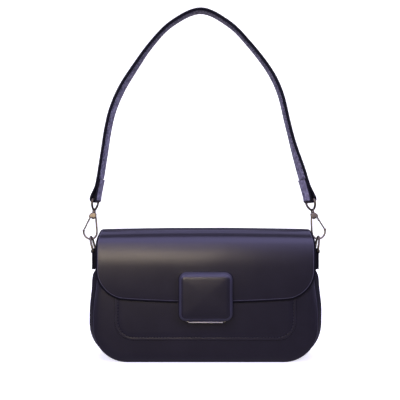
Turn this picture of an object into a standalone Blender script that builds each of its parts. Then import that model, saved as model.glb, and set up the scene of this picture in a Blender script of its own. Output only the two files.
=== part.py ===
"""A structured shoulder bag with a front flap, a square clasp pad and a short strap.

Metres, +Z up. The bag stands on its base at Z = 0 and its front faces -Y. The strap's two
ends hang on swivel hooks, which hold D rings in leather tabs at the sides.
"""

import bmesh
import bpy
from math import asin, atan2, cos, pi, radians, sin, sqrt, tan
from mathutils import Matrix, Vector

MM = 0.001
SIDES = (("left", -1), ("right", 1))

# Clearances
FIT_GAP = 0.3 * MM            # between pieces that touch on the real bag
PIN_GAP = 0.15 * MM           # round the small pivot pins
CUT_OVERRUN = 1.0 * MM        # how far a cutter runs past what it cuts

# Body
BODY_WIDTH = 242 * MM         # across the front panel at its widest
BODY_TAPER = 9 * MM           # its top edge is this much narrower
BODY_TOP_WIDTH = BODY_WIDTH - BODY_TAPER
BODY_DEPTH = 70 * MM          # over both panels
CORNER_RADIUS = 37 * MM       # lower corners
FRONT_HEIGHT = 133 * MM
BACK_DROP = 1.8 * MM          # the back's top edge is this much lower than the front's
BACK_HEIGHT = FRONT_HEIGHT - BACK_DROP
WIDEST_UP_TO = 50 * MM        # the sides are upright up to here
NARROW_DROP = 33 * MM         # the top width starts this far below the front's top edge
NARROW_FROM = FRONT_HEIGHT - NARROW_DROP
PANEL_THICKNESS = 2.4 * MM

# Gusset
GUSSET_DROP = 2 * MM          # its ends are this much lower than the front's top edge
GUSSET_HEIGHT = FRONT_HEIGHT - GUSSET_DROP
GUSSET_THICKNESS = 2.2 * MM
PANEL_PROUD = 0.3 * MM        # how far the panels' edges stand out past the band
GUSSET_BULGE = 9 * MM
BULGE_HEIGHT = 55 * MM        # where the sides swell most
BULGE_DROP = 8 * MM           # the swelling has died out this far below the top edge
BULGE_END = FRONT_HEIGHT - BULGE_DROP
BULGE_POWER = 2.3

# Front patch
PATCH_WIDTH = 194 * MM
PATCH_FOOT = 24.3 * MM
PATCH_DROP = 15 * MM          # from the front's top edge down to the patch
PATCH_HEAD = FRONT_HEIGHT - PATCH_DROP
PATCH_RADIUS = 25 * MM
PATCH_THICKNESS = 1.0 * MM

# Lining, facings and base board
LINING_THICKNESS = 0.6 * MM
LINING_DROP = 26 * MM         # from the front's top edge down to the cloth
LINING_TOP = FRONT_HEIGHT - LINING_DROP
FACING_THICKNESS = 1.2 * MM
FACING_INSET = 5.5 * MM       # in from each end of the body's top edge
FACING_WIDTH = BODY_TOP_WIDTH - 2 * FACING_INSET
BOARD_END_ROOM = 3 * MM       # between the board and where the rounded corners start
BOARD_LENGTH = BODY_WIDTH - 2 * (CORNER_RADIUS + BOARD_END_ROOM)
BOARD_SIDE_ROOM = 6 * MM      # between the board and the body's front and back faces
BOARD_WIDTH = BODY_DEPTH - 2 * BOARD_SIDE_ROOM
BOARD_THICKNESS = 1.8 * MM
BOARD_CHAMFER = 0.5 * MM

# Flap
FLAP_INSET = 5.5 * MM         # in from each side of the body at its widest
FLAP_WIDTH = BODY_WIDTH - 2 * FLAP_INSET      # across the front drop
FLAP_TAPER = 5 * MM           # the flap's top and back are this much narrower
FLAP_TOP_WIDTH = FLAP_WIDTH - FLAP_TAPER
FLAP_THICKNESS = 1.8 * MM
FLAP_LINING_THICKNESS = 0.8 * MM
FLAP_LINING_INSET = 2.5 * MM
FLAP_RISE = 9.6 * MM          # from the front's top edge to the flap's outer face
FLAP_TOP = FRONT_HEIGHT + FLAP_RISE           # at the ends of the top
FLAP_CROWN = 1.6 * MM         # the top is this much higher in its middle
FLAP_STAND_OFF = 1.0 * MM     # between the flap's lining and the front patch
FLAP_BACK_PROUD = 0.1 * MM    # how far the flap stands out past the back panel
FRONT_ROLL = 14 * MM
BACK_ROLL = 11.5 * MM
FLAP_HEM = 70.4 * MM          # height of the lower edge's ends
FLAP_HEM_DIP = 5.1 * MM       # the lower edge is this much lower in its middle
FLAP_CORNER = 28 * MM
TAIL_INSET = 5 * MM           # in from each side of the flap's back
TAIL_WIDTH = FLAP_TOP_WIDTH - 2 * TAIL_INSET
TAIL_DROP = 28.2 * MM         # from the back's top edge down to the tail's foot
TAIL_FOOT = BACK_HEIGHT - TAIL_DROP
TAIL_RADIUS = 12 * MM
HINGE_RISE = 0.8 * MM         # the flap's bend lies this much above the back panel

# Clasp
PAD_WIDTH = 57.5 * MM
PAD_HEIGHT = 52 * MM
PAD_FOOT = 46.5 * MM
PAD_THICKNESS = 8 * MM
PAD_RADIUS = 9.5 * MM
PAD_RIM = 2.4 * MM
PLATE_INSET = 3 * MM
PLATE_THICKNESS = 1.0 * MM
LIP_WIDTH = 36 * MM
LIP_REACH = 6.5 * MM
LIP_THICKNESS = 0.9 * MM
MAGNET_RADIUS = 7 * MM
MAGNET_HEIGHT = 54.3 * MM     # of the magnets' middle
KEEPER_THICKNESS = 1.5 * MM
CLASP_RIVET_SPACING = 28 * MM
CLASP_RIVET_HEIGHT = 84 * MM
CLASP_RIVET_RADIUS = 1.2 * MM
CLASP_RIVET_HEAD_RADIUS = 3.4 * MM
CLASP_RIVET_HEAD_THICKNESS = 0.6 * MM
CLASP_RIVET_CROWN_SHARE = 0.75

# Side tabs and rings
RING_WIRE = 2.3 * MM
RING_RADIUS = 8.85 * MM       # of the ring's arc, at the wire's middle
RING_HEIGHT = 16.35 * MM      # from the bar to the top of the arc, at the wire's middle
RING_CORNER = 2.0 * MM
RING_OUT = 8.3 * MM           # from the body's top edge out to the ring's bar
RING_REACH = BODY_TOP_WIDTH / 2 + RING_OUT
RING_DROP = 15.85 * MM        # from the front's top edge down to the ring's bar
RING_BAR_HEIGHT = FRONT_HEIGHT - RING_DROP
RING_LEANS = {"left": radians(14), "right": radians(8.5)}
TAB_WIDTH = 14.0 * MM
TAB_LEATHER = 1.6 * MM
TAB_DROP = 20.15 * MM         # from the ring's bar down to the tab's foot
TAB_FOOT = RING_BAR_HEIGHT - TAB_DROP
TAB_BORE_GAP = 0.3 * MM
TAB_NECK_SHARE = 1.15         # where the fold has closed, as a share of its own drop
TAB_RIVET_DROP = 5.3 * MM     # below the ring's bar
TAB_RIVET_RADIUS = 1.1 * MM
TAB_RIVET_HEAD_RADIUS = 2.4 * MM
TAB_RIVET_HEAD_THICKNESS = 0.9 * MM
# Shares of the head's radius and thickness, from its crown down to its rim
TAB_RIVET_DOME_SHARES = ((0, 1), (0.6, 0.85), (1, 0.35), (1, 0))

# Hooks, measured along the hook from its bottom (up) and from its axis (out)
HOOK_WIRE = 1.9 * MM
HOOK_GAP = 0.5 * MM           # between the hook's bottom and the ring
HOOK_TILTS = {"left": radians(7.1), "right": radians(13.2)}
HOOK_SPAN = 15 * MM
HOOK_RISE = 30 * MM
BASE_FOOT = 25.5 * MM
BASE_HEIGHT = 5.3 * MM
BASE_HALF = 2.8 * MM
BASE_DEPTH = 5.0 * MM
BASE_ROUNDING = 0.8 * MM
CHEEK_REACH = 4.5 * MM
CHEEK_DROP = 0.9 * MM
CHEEK_HEIGHT = 4.0 * MM
SLOT_WIDTH = 2.3 * MM
SLOT_ROOT = 1.45 * MM         # how near the slot comes to the hook's axis
KNOB_RADIUS = 1.35 * MM
GATE_WIRE = 1.7 * MM
GATE_PIVOT_OUT = 3.15 * MM
GATE_PIVOT_UP = 26.2 * MM
GATE_EYELET_RADIUS = 1.1 * MM
GATE_DEPTH = 1.8 * MM
PIN_RADIUS = 0.45 * MM
PIN_LENGTH = 4.8 * MM
SPRING_THICKNESS = 0.3 * MM
SPRING_WIDTH = 1.5 * MM
SPRING_ROOT = 1.75 * MM       # of the spring's upright part from the hook's axis
SPRING_BEND_SHARE = 0.35      # of the spring's lean, reached halfway down it
STEM_RADIUS = 0.9 * MM
STEM_HEAD_RADIUS = 1.5 * MM
STEM_HEAD_THICKNESS = 1.3 * MM
# Shares of the stem head's radius and thickness, from its shoulder down to its end
STEM_HEAD_SHARES = ((1, 1), (1, 0.4), (0.7, 0))
STEM_TOP = 35 * MM
COLLAR_RADIUS = 1.7 * MM
COLLAR_HEAD = 33.6 * MM
COLLAR_ROUNDING = 0.5 * MM
EYE_WIRE = 2.0 * MM
EYE_FOOT = 34.2 * MM
EYE_BAR_HEIGHT = 46 * MM
EYE_HALF = 9.5 * MM
EYE_BAR_SHARE = 0.8           # of the eye's width, its straight bar
EYE_TURNS = {"left": radians(12), "right": radians(22)}

# Strap
STRAP_WIDTH = 16 * MM
STRAP_LINING_WIDTH = 15 * MM
STRAP_THICKNESS = 2.4 * MM
STRAP_LINING_THICKNESS = 1.1 * MM
STRAP_OUT = 0.2 * MM          # how much wider the arch is than the rings' bars
STRAP_HALF_SPAN = RING_REACH + STRAP_OUT
STRAP_LIFT = 72.85 * MM       # from the ring's bar up to where the strap's route starts
STRAP_FOOT = RING_BAR_HEIGHT + STRAP_LIFT
STRAP_RISE = 199 * MM
LOOP_HALF = 3.1 * MM
LOOP_DROP = 2.5 * MM
LOOP_UPRIGHT = 1.5 * MM       # the loop's sides go straight up this far above the bar
FOLD_PLACES = 2               # how many places of the route the folded end follows
# Above the start of the route, the hook's turn fades out of the strap between these
TURN_FADE_START = 10 * MM
TURN_FADE_END = 60 * MM
TURN_FADE_FROM = STRAP_FOOT + TURN_FADE_START
TURN_FADE_TO = STRAP_FOOT + TURN_FADE_END
LEG_TURNS = {"left": radians(12), "right": radians(6)}
# and the legs' own turn between these
LEG_FADE_START = 100 * MM
LEG_FADE_END = 180 * MM
LEG_TURN_FADE_FROM = STRAP_FOOT + LEG_FADE_START
LEG_TURN_FADE_TO = STRAP_FOOT + LEG_FADE_END

# Shares of the strap's half span and rise, along the arch from left to right
STRAP_ROUTE_SHARES = (
    (-0.966, 0.0), (-0.952, 0.04), (-0.941, 0.08), (-0.914, 0.19), (-0.882, 0.32),
    (-0.840, 0.43), (-0.759, 0.55), (-0.641, 0.67), (-0.496, 0.80), (-0.310, 0.92),
    (-0.040, 0.995), (0.216, 0.92), (0.406, 0.80), (0.596, 0.64), (0.683, 0.52),
    (0.745, 0.36), (0.807, 0.21), (0.869, 0.08), (0.888, 0.04), (0.909, 0.0),
)
# Shares of the hook's span and rise, from the spine's head round the bottom to the nose
HOOK_ROUTE_SHARES = (
    (-0.147, 0.92), (-0.240, 0.75), (-0.330, 0.53), (-0.405, 0.33), (-0.393, 0.20),
    (-0.280, 0.097), (-0.107, 0.040), (0.053, 0.032), (0.240, 0.050), (0.427, 0.113),
    (0.553, 0.213), (0.593, 0.320),
)
# Shares of the eye's half width and of its height above its foot, up one side to the bar
EYE_SIDE_SHARES = (
    (0.14, 0.0), (0.52, 0.12), (0.86, 0.38), (0.99, 0.64), (1.0, 0.86), (0.93, 0.97),
)

# Places that follow from the sizes above
PANEL_OUT = BODY_DEPTH / 2
PANEL_IN = PANEL_OUT - PANEL_THICKNESS
GUSSET_IN = PANEL_PROUD + GUSSET_THICKNESS
PATCH_OUT = PANEL_OUT + FIT_GAP + PATCH_THICKNESS
FLAP_LINING_IN = PATCH_OUT + FLAP_STAND_OFF + 2 * FIT_GAP
FLAP_IN = FLAP_LINING_IN + FLAP_LINING_THICKNESS + FIT_GAP
FLAP_OUT = FLAP_IN + FLAP_THICKNESS
PLATE_IN = FLAP_OUT + FIT_GAP
PLATE_OUT = PLATE_IN + PLATE_THICKNESS
PAD_BACK = PLATE_OUT + FIT_GAP
PAD_FRONT = PAD_BACK + PAD_THICKNESS
TAIL_IN = PANEL_OUT + FIT_GAP
TAIL_OUT = TAIL_IN + FLAP_THICKNESS
HINGE_Y = (TAIL_IN + TAIL_OUT) / 2
HINGE_Z = BACK_HEIGHT + HINGE_RISE
FLAP_BACK_OUT = PANEL_OUT + FLAP_BACK_PROUD
RING_WIRE_RADIUS = RING_WIRE / 2
TAB_HALF = RING_WIRE_RADIUS + TAB_BORE_GAP + TAB_LEATHER
SWING_Z = RING_BAR_HEIGHT + (RING_HEIGHT - RING_RADIUS) * cos(RING_LEANS["left"])


def clear_scene():
    """Remove whatever the file holds, so that only the bag is left."""
    for old in list(bpy.data.objects):
        bpy.data.objects.remove(old, do_unlink=True)


clear_scene()
bag_parts = bpy.data.collections.new("shoulder_bag")
cutters = bpy.data.collections.new("cutters")
for group in (bag_parts, cutters):
    bpy.context.scene.collection.children.link(group)


# Materials

def make_material(name, colour, roughness, metallic=0.0):
    material = bpy.data.materials.new(name)
    material.use_nodes = True
    shader = material.node_tree.nodes["Principled BSDF"]
    shader.inputs["Base Color"].default_value = (*colour, 1)
    shader.inputs["Roughness"].default_value = roughness
    shader.inputs["Metallic"].default_value = metallic
    return material


body_leather = make_material("body_leather", (0.016, 0.015, 0.024), 0.42)
edge_leather = make_material("tab_leather", (0.018, 0.016, 0.026), 0.5)
strap_inner_leather = make_material("strap_inner_leather", (0.12, 0.105, 0.19), 0.6)
lining_cloth = make_material("lining_cloth", (0.05, 0.045, 0.06), 0.9)
board_stock = make_material("board_stock", (0.10, 0.09, 0.08), 0.85)
pale_gold = make_material("pale_gold", (0.83, 0.67, 0.42), 0.2, 1.0)
plate_metal = make_material("plate_metal", (0.72, 0.72, 0.74), 0.22, 1.0)
magnet_metal = make_material("magnet_metal", (0.42, 0.42, 0.44), 0.35, 1.0)
spring_steel = make_material("spring_steel", (0.5, 0.5, 0.52), 0.3, 1.0)


# Helpers

def put(obj, material, group=bag_parts, parent=None):
    """Link an object into its collection with its material and parent."""
    group.objects.link(obj)
    obj.parent = parent
    if material is not None:
        obj.data.materials.append(material)
    return obj


def empty(name, place, turn=None):
    """An axis to hang pieces on."""
    axis = bpy.data.objects.new(name, None)
    bag_parts.objects.link(axis)
    axis.location = place
    if turn is not None:
        axis.rotation_euler = turn
    return axis


def mesh_object(name, bm, material, group=bag_parts, parent=None):
    mesh = bpy.data.meshes.new(name)
    bm.to_mesh(mesh)
    bm.free()
    return put(bpy.data.objects.new(name, mesh), material, group, parent)


def meshed(obj):
    """Turn a curve, or an object with modifiers, into a plain closed mesh."""
    bpy.context.view_layer.update()
    evaluated = obj.evaluated_get(bpy.context.evaluated_depsgraph_get())
    mesh = bpy.data.meshes.new_from_object(evaluated)
    bm = bmesh.new()
    bm.from_mesh(mesh)
    bmesh.ops.remove_doubles(bm, verts=bm.verts, dist=FIT_GAP / 1000)
    bmesh.ops.recalc_face_normals(bm, faces=bm.faces)
    bm.to_mesh(mesh)
    bm.free()
    name, group, parent = obj.name, obj.users_collection[0], obj.parent
    local = obj.matrix_local.copy()
    bpy.data.objects.remove(obj, do_unlink=True)
    solid = put(bpy.data.objects.new(name, mesh), None, group, parent)
    solid.matrix_local = local
    return solid


def plate(name, outline, front, thickness, material, group=bag_parts, parent=None, holes=()):
    """A flat piece in the XZ plane: its outline, and the Y of its face nearest the front."""
    curve = bpy.data.curves.new(name, "CURVE")
    curve.dimensions = "2D"
    curve.fill_mode = "BOTH"
    curve.extrude = thickness / 2
    for points in (outline, *holes):
        spline = curve.splines.new("POLY")
        spline.points.add(len(points) - 1)
        for point, (x, z) in zip(spline.points, points):
            point.co = (x, z, 0, 1)
        spline.use_cyclic_u = True
    obj = put(bpy.data.objects.new(name, curve), material, group, parent)
    obj.rotation_euler = (pi / 2, 0, 0)
    obj.location.y = front + thickness / 2
    return obj


def wire(name, points, thickness, material, closed=False, parent=None, group=bag_parts):
    """A round wire of one thickness through the points."""
    curve = bpy.data.curves.new(name, "CURVE")
    curve.dimensions = "3D"
    curve.bevel_depth = thickness / 2
    curve.bevel_resolution = 2
    curve.use_fill_caps = True
    spline = curve.splines.new("POLY")
    spline.points.add(len(points) - 1)
    for point, co in zip(spline.points, points):
        point.co = (*co, 1)
    spline.use_cyclic_u = closed
    return put(bpy.data.objects.new(name, curve), material, group, parent)


def round_bar(name, radius, length, place, axis, material, group=bag_parts, parent=None, sides=24):
    """A cylinder centred on a place, along X, Y or Z."""
    bm = bmesh.new()
    bmesh.ops.create_cone(bm, cap_ends=True, segments=sides, radius1=radius, radius2=radius, depth=length)
    turns = {"X": Matrix.Rotation(pi / 2, 4, "Y"), "Y": Matrix.Rotation(pi / 2, 4, "X"), "Z": Matrix()}
    bm.transform(turns[axis])
    obj = mesh_object(name, bm, material, group, parent)
    obj.location = place
    return obj


def block(name, low, high, material, group=bag_parts, parent=None):
    """A box between two corners."""
    bm = bmesh.new()
    bmesh.ops.create_cube(bm, size=1)
    low, high = Vector(low), Vector(high)
    bm.transform(Matrix.Translation((low + high) / 2) @ Matrix.Diagonal((*(high - low), 1)))
    return mesh_object(name, bm, material, group, parent)


def combine(target, tool, operation):
    """Cut a tool out of a piece, or join it on. The tool stays as a hidden guide."""
    if tool.name not in cutters.objects:
        for group in list(tool.users_collection):
            group.objects.unlink(tool)
        cutters.objects.link(tool)
    tool.hide_render = True
    tool.display_type = "WIRE"
    step = target.modifiers.new(tool.name, "BOOLEAN")
    step.operation = operation
    step.solver = "EXACT"
    step.object = tool


def sheet(name, rows, thickness, outward, material, offset=-1):
    """A curved sheet through rows of points, thickened away from its outer face."""
    bm = bmesh.new()
    grid = [[bm.verts.new(co) for co in row] for row in rows]
    for above, below in zip(grid, grid[1:]):
        for k in range(len(above) - 1):
            bm.faces.new((above[k], above[k + 1], below[k + 1], below[k]))
    bm.normal_update()
    bm.faces.ensure_lookup_table()
    if bm.faces[0].normal.dot(Vector(outward)) < 0:
        bmesh.ops.reverse_faces(bm, faces=bm.faces)
    obj = mesh_object(name, bm, material)
    shell = obj.modifiers.new("thickness", "SOLIDIFY")
    shell.thickness = thickness
    shell.offset = offset
    shell.use_even_offset = True
    obj.data.shade_smooth()
    obj.data.set_sharp_from_angle(angle=radians(40))
    return obj


def arc(centre, radius, start, end, steps):
    """Points of a round stretch in a plane, from one angle to another."""
    return [
        (centre[0] + radius * cos(a), centre[1] + radius * sin(a))
        for a in (start + (end - start) * k / steps for k in range(steps + 1))
    ]


def smooth_through(points, steps, shortest=0):
    """A smooth open line through points, whose bends stay tight where the points are close.

    A stretch shorter than `shortest` gets no places between its ends.
    """
    points = [Vector(p) for p in points]
    padded = [2 * points[0] - points[1], *points, 2 * points[-1] - points[-2]]
    line = []
    for a, b, c, d in zip(padded, padded[1:], padded[2:], padded[3:]):
        ab, bc, cd = ((q - p).length ** 0.5 for p, q in ((a, b), (b, c), (c, d)))
        leave = ((b - a) / ab - (c - a) / (ab + bc) + (c - b) / bc) * bc
        arrive = ((c - b) / bc - (d - b) / (bc + cd) + (d - c) / cd) * bc
        places = 1 if (c - b).length < shortest else steps
        for k in range(places):
            t = k / places
            near, far = (2 * t - 3) * t * t + 1, (3 - 2 * t) * t * t
            line.append(near * b + far * c + (t - 1) ** 2 * t * leave + (t - 1) * t * t * arrive)
    line.append(points[-1])
    return line


def ribbon_outline(line, thickness):
    """The closed outline of a strip of one thickness along a line in a plane."""
    left, right = [], []
    for k, point in enumerate(line):
        ahead = line[min(k + 1, len(line) - 1)] - line[max(k - 1, 0)]
        side = Vector((-ahead[1], ahead[0])).normalized() * thickness / 2
        left.append(tuple(point + side))
        right.append(tuple(point - side))
    return left + right[::-1]


def ease(share):
    """From 0 to 1 with no corner at either end."""
    share = min(max(share, 0), 1)
    return share * share * (3 - 2 * share)


# Body: panels, gusset, lining and base

def half_width(z):
    """Half the body's width at a height above its lower corners."""
    narrowing = ease((z - WIDEST_UP_TO) / (NARROW_FROM - WIDEST_UP_TO))
    return (BODY_WIDTH - (BODY_WIDTH - BODY_TOP_WIDTH) * narrowing) / 2


def body_side(top, inset=0, foot=0, steps=9):
    """The right half of the body's outline, from its top edge down to the base."""
    corner = CORNER_RADIUS - inset
    centre = (BODY_WIDTH / 2 - CORNER_RADIUS, foot + corner)
    heights = [top + (centre[1] - top) * k / steps for k in range(steps)]
    side = [(half_width(z) - inset, z) for z in heights]
    return side + arc(centre, corner, 0, -pi / 2, steps)


def body_outline(top, inset=0, foot=0):
    right = body_side(top, inset, foot)
    return right + [(-x, z) for x, z in reversed(right)]


def bulge_share(x, z):
    """How far the gusset swells at a point of the body's outline, as a share of its most."""
    if z < CORNER_RADIUS:
        sideways = max(x - (BODY_WIDTH / 2 - CORNER_RADIUS), 0) / CORNER_RADIUS
        return sideways**2
    if z < BULGE_HEIGHT:
        return 1
    return max(1 - ((z - BULGE_HEIGHT) / (BULGE_END - BULGE_HEIGHT)) ** BULGE_POWER, 0)


def make_panels():
    plate("front_panel", body_outline(FRONT_HEIGHT), -PANEL_OUT, PANEL_THICKNESS, body_leather)
    plate("back_panel", body_outline(BACK_HEIGHT), PANEL_IN, PANEL_THICKNESS, body_leather)


def make_gusset(cross_steps=8, base_steps=4):
    """The band between the panels. It swells outwards halfway between them."""
    side = body_side(GUSSET_HEIGHT, PANEL_PROUD, PANEL_PROUD)
    base_end = side[-1][0]
    base = [(base_end * (1 - k / base_steps), PANEL_PROUD) for k in range(1, base_steps)]
    right = side + base
    reach = PANEL_IN - FIT_GAP
    rows = []
    for mirror, points in ((1, [*right, (0, PANEL_PROUD)]), (-1, right[::-1])):
        for x, z in points:
            out_x = max(x - (BODY_WIDTH / 2 - CORNER_RADIUS), 0)
            out_z = min(z - CORNER_RADIUS, 0)
            away = Vector((out_x, 0, out_z)).normalized()
            row = []
            for k in range(cross_steps + 1):
                across = 2 * k / cross_steps - 1
                swell = GUSSET_BULGE * bulge_share(x, z) * (1 - across**2)
                spot = Vector((x, 0, z)) + away * swell
                row.append((mirror * spot.x, reach * across, spot.z))
            rows.append(row)
    sheet("gusset", rows, GUSSET_THICKNESS, (1, 0, 0), body_leather)


def make_front_patch():
    half = PATCH_WIDTH / 2
    corner = arc((half - PATCH_RADIUS, PATCH_FOOT + PATCH_RADIUS), PATCH_RADIUS, 0, -pi / 2, 7)
    right = [(half, PATCH_HEAD), *corner]
    outline = right + [(-x, z) for x, z in reversed(right)]
    plate("front_patch", outline, -PATCH_OUT, PATCH_THICKNESS, body_leather)


def make_lining():
    """The inner bag: an open-topped tub just inside the body."""
    inset = GUSSET_IN + FIT_GAP
    foot = GUSSET_IN + BOARD_THICKNESS + 3 * FIT_GAP
    outline = body_outline(LINING_TOP, inset, foot)
    reach = PANEL_IN - FIT_GAP
    bm = bmesh.new()
    front, back = ([bm.verts.new((x, y, z)) for x, z in outline] for y in (-reach, reach))
    bm.faces.new(front)
    bm.faces.new(back[::-1])
    for k in range(len(outline) - 1):
        bm.faces.new((front[k + 1], front[k], back[k], back[k + 1]))
    bmesh.ops.recalc_face_normals(bm, faces=bm.faces)
    lining = mesh_object("lining", bm, lining_cloth)
    shell = lining.modifiers.new("thickness", "SOLIDIFY")
    shell.thickness = LINING_THICKNESS
    shell.offset = -1
    shell.use_even_offset = True


def make_facings():
    half = FACING_WIDTH / 2
    foot = LINING_TOP + FIT_GAP
    reach = PANEL_IN - FIT_GAP
    for name, head, front in (
        ("facing_front", FRONT_HEIGHT, -reach),
        ("facing_back", BACK_HEIGHT, reach - FACING_THICKNESS),
    ):
        outline = [(-half, foot), (half, foot), (half, head), (-half, head)]
        plate(name, outline, front, FACING_THICKNESS, body_leather)


def make_base_board():
    foot = GUSSET_IN + FIT_GAP
    low = (-BOARD_LENGTH / 2, -BOARD_WIDTH / 2, foot)
    high = (BOARD_LENGTH / 2, BOARD_WIDTH / 2, foot + BOARD_THICKNESS)
    board = block("base_board", low, high, board_stock)
    corners = board.modifiers.new("corners", "BEVEL")
    corners.width = BOARD_CHAMFER
    corners.segments = 1


# Flap

def flap_profile(inwards, inset):
    """The flap's outer face from behind down its front: Y, Z and the share of its full width.

    The line can lie inwards of the outer face and start further from the bend, for the lining.
    """
    back = FLAP_BACK_OUT - inwards
    top = FLAP_TOP - inwards
    front = -(FLAP_OUT - inwards)
    back_roll = BACK_ROLL - inwards
    front_roll = FRONT_ROLL - inwards
    start = asin((HINGE_Z + FIT_GAP + inset - (top - back_roll)) / back_roll)
    line = [(y, z, 0) for y, z in arc((back - back_roll, top - back_roll), back_roll, start, pi / 2, 6)]
    strip = (front + front_roll) - (back - back_roll)
    line += [(back - back_roll + strip * k / 4, top, 0) for k in range(1, 4)]
    bend = arc((front + front_roll, top - front_roll), front_roll, pi / 2, pi, 8)
    line += [(y, z, ease(k / 8)) for k, (y, z) in enumerate(bend)]
    corner_start = FLAP_HEM + FLAP_CORNER
    straight = corner_start - (top - front_roll)
    line += [(front, top - front_roll + straight * k / 3, 1) for k in range(1, 4)]
    return line, front


def flap_rows(inwards=0, inset=0, columns=16):
    """Rows of points across the flap, from its bend behind down to its hem."""
    line, front = flap_profile(inwards, inset)
    stations = [(y, z, (FLAP_TOP_WIDTH + (FLAP_WIDTH - FLAP_TOP_WIDTH) * wide) / 2) for y, z, wide in line]
    corner_top = FLAP_HEM + FLAP_CORNER
    for k in range(1, 9):
        angle = radians(90) * k / 8
        narrow = FLAP_CORNER * (1 - cos(angle))
        stations.append((front, corner_top - FLAP_CORNER * sin(angle), FLAP_WIDTH / 2 - narrow))
    rows = []
    for y, z, half in stations:
        half -= inset
        row = []
        for k in range(columns + 1):
            across = 2 * k / columns - 1
            arch = 1 - across**2
            on_top = ease((z - (FLAP_TOP - FRONT_ROLL)) / FRONT_ROLL)
            dip = FLAP_HEM_DIP * max((corner_top - z) / FLAP_CORNER, 0) ** 2
            lift = (FLAP_CROWN * on_top - dip) * arch
            hem_lift = inset * max((corner_top - z) / FLAP_CORNER, 0)
            row.append((half * across, y, z + lift + hem_lift))
        rows.append(row)
    return rows


def make_flap(hinge):
    shell = sheet("flap_shell", flap_rows(), FLAP_THICKNESS, (0, 1, 0), body_leather)
    inwards = FLAP_THICKNESS + FIT_GAP
    rows = flap_rows(inwards, FLAP_LINING_INSET)
    lining = sheet("flap_lining", rows, FLAP_LINING_THICKNESS, (0, 1, 0), lining_cloth)
    for _, side in SIDES:
        place = (side * CLASP_RIVET_SPACING / 2, -FLAP_OUT, CLASP_RIVET_HEIGHT)
        radius = CLASP_RIVET_RADIUS + FIT_GAP
        depth = 2 * (FLAP_OUT - FLAP_LINING_IN + CUT_OVERRUN)
        hole = round_bar("clasp_rivet_hole", radius, depth, place, "Y", None, cutters)
        combine(shell, hole, "DIFFERENCE")
        combine(lining, hole, "DIFFERENCE")
    for piece in (shell, lining):
        hang_on(piece, hinge)


def hang_on(piece, axis):
    """Parent a piece that is already in place to an axis, and leave it where it is."""
    bpy.context.view_layer.update()
    where = piece.matrix_world.copy()
    piece.parent = axis
    piece.matrix_parent_inverse = axis.matrix_world.inverted()
    piece.matrix_basis = where


def make_flap_tail():
    half = TAIL_WIDTH / 2
    corner = arc((half - TAIL_RADIUS, TAIL_FOOT + TAIL_RADIUS), TAIL_RADIUS, 0, -pi / 2, 5)
    right = [(half, HINGE_Z - 2 * FIT_GAP), *corner]
    outline = right + [(-x, z) for x, z in reversed(right)]
    plate("flap_tail", outline, TAIL_IN, FLAP_THICKNESS, body_leather)


# Clasp

def rounded_square(width, foot, height, radius, steps=6):
    """The outline of an upright plate with four round corners."""
    inner = width / 2 - radius
    low, high = foot + radius, foot + height - radius
    corners = (((inner, high), 0), ((-inner, high), 1), ((-inner, low), 2), ((inner, low), 3))
    outline = []
    for centre, quarter in corners:
        outline += arc(centre, radius, quarter * pi / 2, (quarter + 1) * pi / 2, steps)
    return outline


def make_clasp(hinge):
    outline = rounded_square(PAD_WIDTH, PAD_FOOT, PAD_HEIGHT, PAD_RADIUS)
    pad = meshed(plate("clasp_pad", outline, -PAD_FRONT, PAD_THICKNESS, None))
    pad.data.materials.append(body_leather)
    rim = pad.modifiers.new("rim", "BEVEL")
    rim.width = PAD_RIM
    rim.segments = 3
    rim.limit_method = "ANGLE"
    rim.angle_limit = radians(50)

    side = PAD_WIDTH - 2 * PLATE_INSET
    height = PAD_HEIGHT - PLATE_INSET + FIT_GAP + LIP_THICKNESS
    foot = PAD_FOOT - FIT_GAP - LIP_THICKNESS
    outline = rounded_square(side, foot, height, PAD_RADIUS - PLATE_INSET)
    metal = meshed(plate("clasp_plate", outline, -PLATE_OUT, PLATE_THICKNESS, None))
    metal.data.materials.append(plate_metal)
    low = (-LIP_WIDTH / 2, -PLATE_OUT - LIP_REACH, foot)
    high = (LIP_WIDTH / 2, -PLATE_OUT + PLATE_THICKNESS / 2, foot + LIP_THICKNESS)
    combine(metal, block("plate_lip", low, high, None, cutters), "UNION")

    magnet_back = PATCH_OUT + FIT_GAP + KEEPER_THICKNESS + FIT_GAP
    magnet_front = PLATE_IN - FIT_GAP
    thick = magnet_front - magnet_back
    place = (0, -(magnet_back + magnet_front) / 2, MAGNET_HEIGHT)
    magnet = round_bar("clasp_magnet", MAGNET_RADIUS, thick, place, "Y", magnet_metal, sides=32)

    rivets = []
    for name, side in SIDES:
        rivets.append(make_clasp_rivet(f"clasp_rivet_{name}", side * CLASP_RIVET_SPACING / 2))
    for piece in (pad, metal, magnet, *rivets):
        hang_on(piece, hinge)


def make_clasp_rivet(name, x):
    """A turned rivet: its head inside the flap, its shank through to the plate."""
    head_back = FLAP_LINING_IN - FIT_GAP
    length = PLATE_IN - FIT_GAP - head_back
    profile = (
        (0, CLASP_RIVET_HEAD_THICKNESS),
        (CLASP_RIVET_HEAD_RADIUS * CLASP_RIVET_CROWN_SHARE, CLASP_RIVET_HEAD_THICKNESS),
        (CLASP_RIVET_HEAD_RADIUS, CLASP_RIVET_HEAD_THICKNESS / 2),
        (CLASP_RIVET_HEAD_RADIUS, 0),
        (CLASP_RIVET_RADIUS, 0),
        (CLASP_RIVET_RADIUS, -length),
        (0, -length),
    )
    rivet = turned(name, profile, pale_gold)
    rivet.rotation_euler = (-pi / 2, 0, 0)
    rivet.location = (x, -head_back, CLASP_RIVET_HEIGHT)
    return rivet


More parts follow.
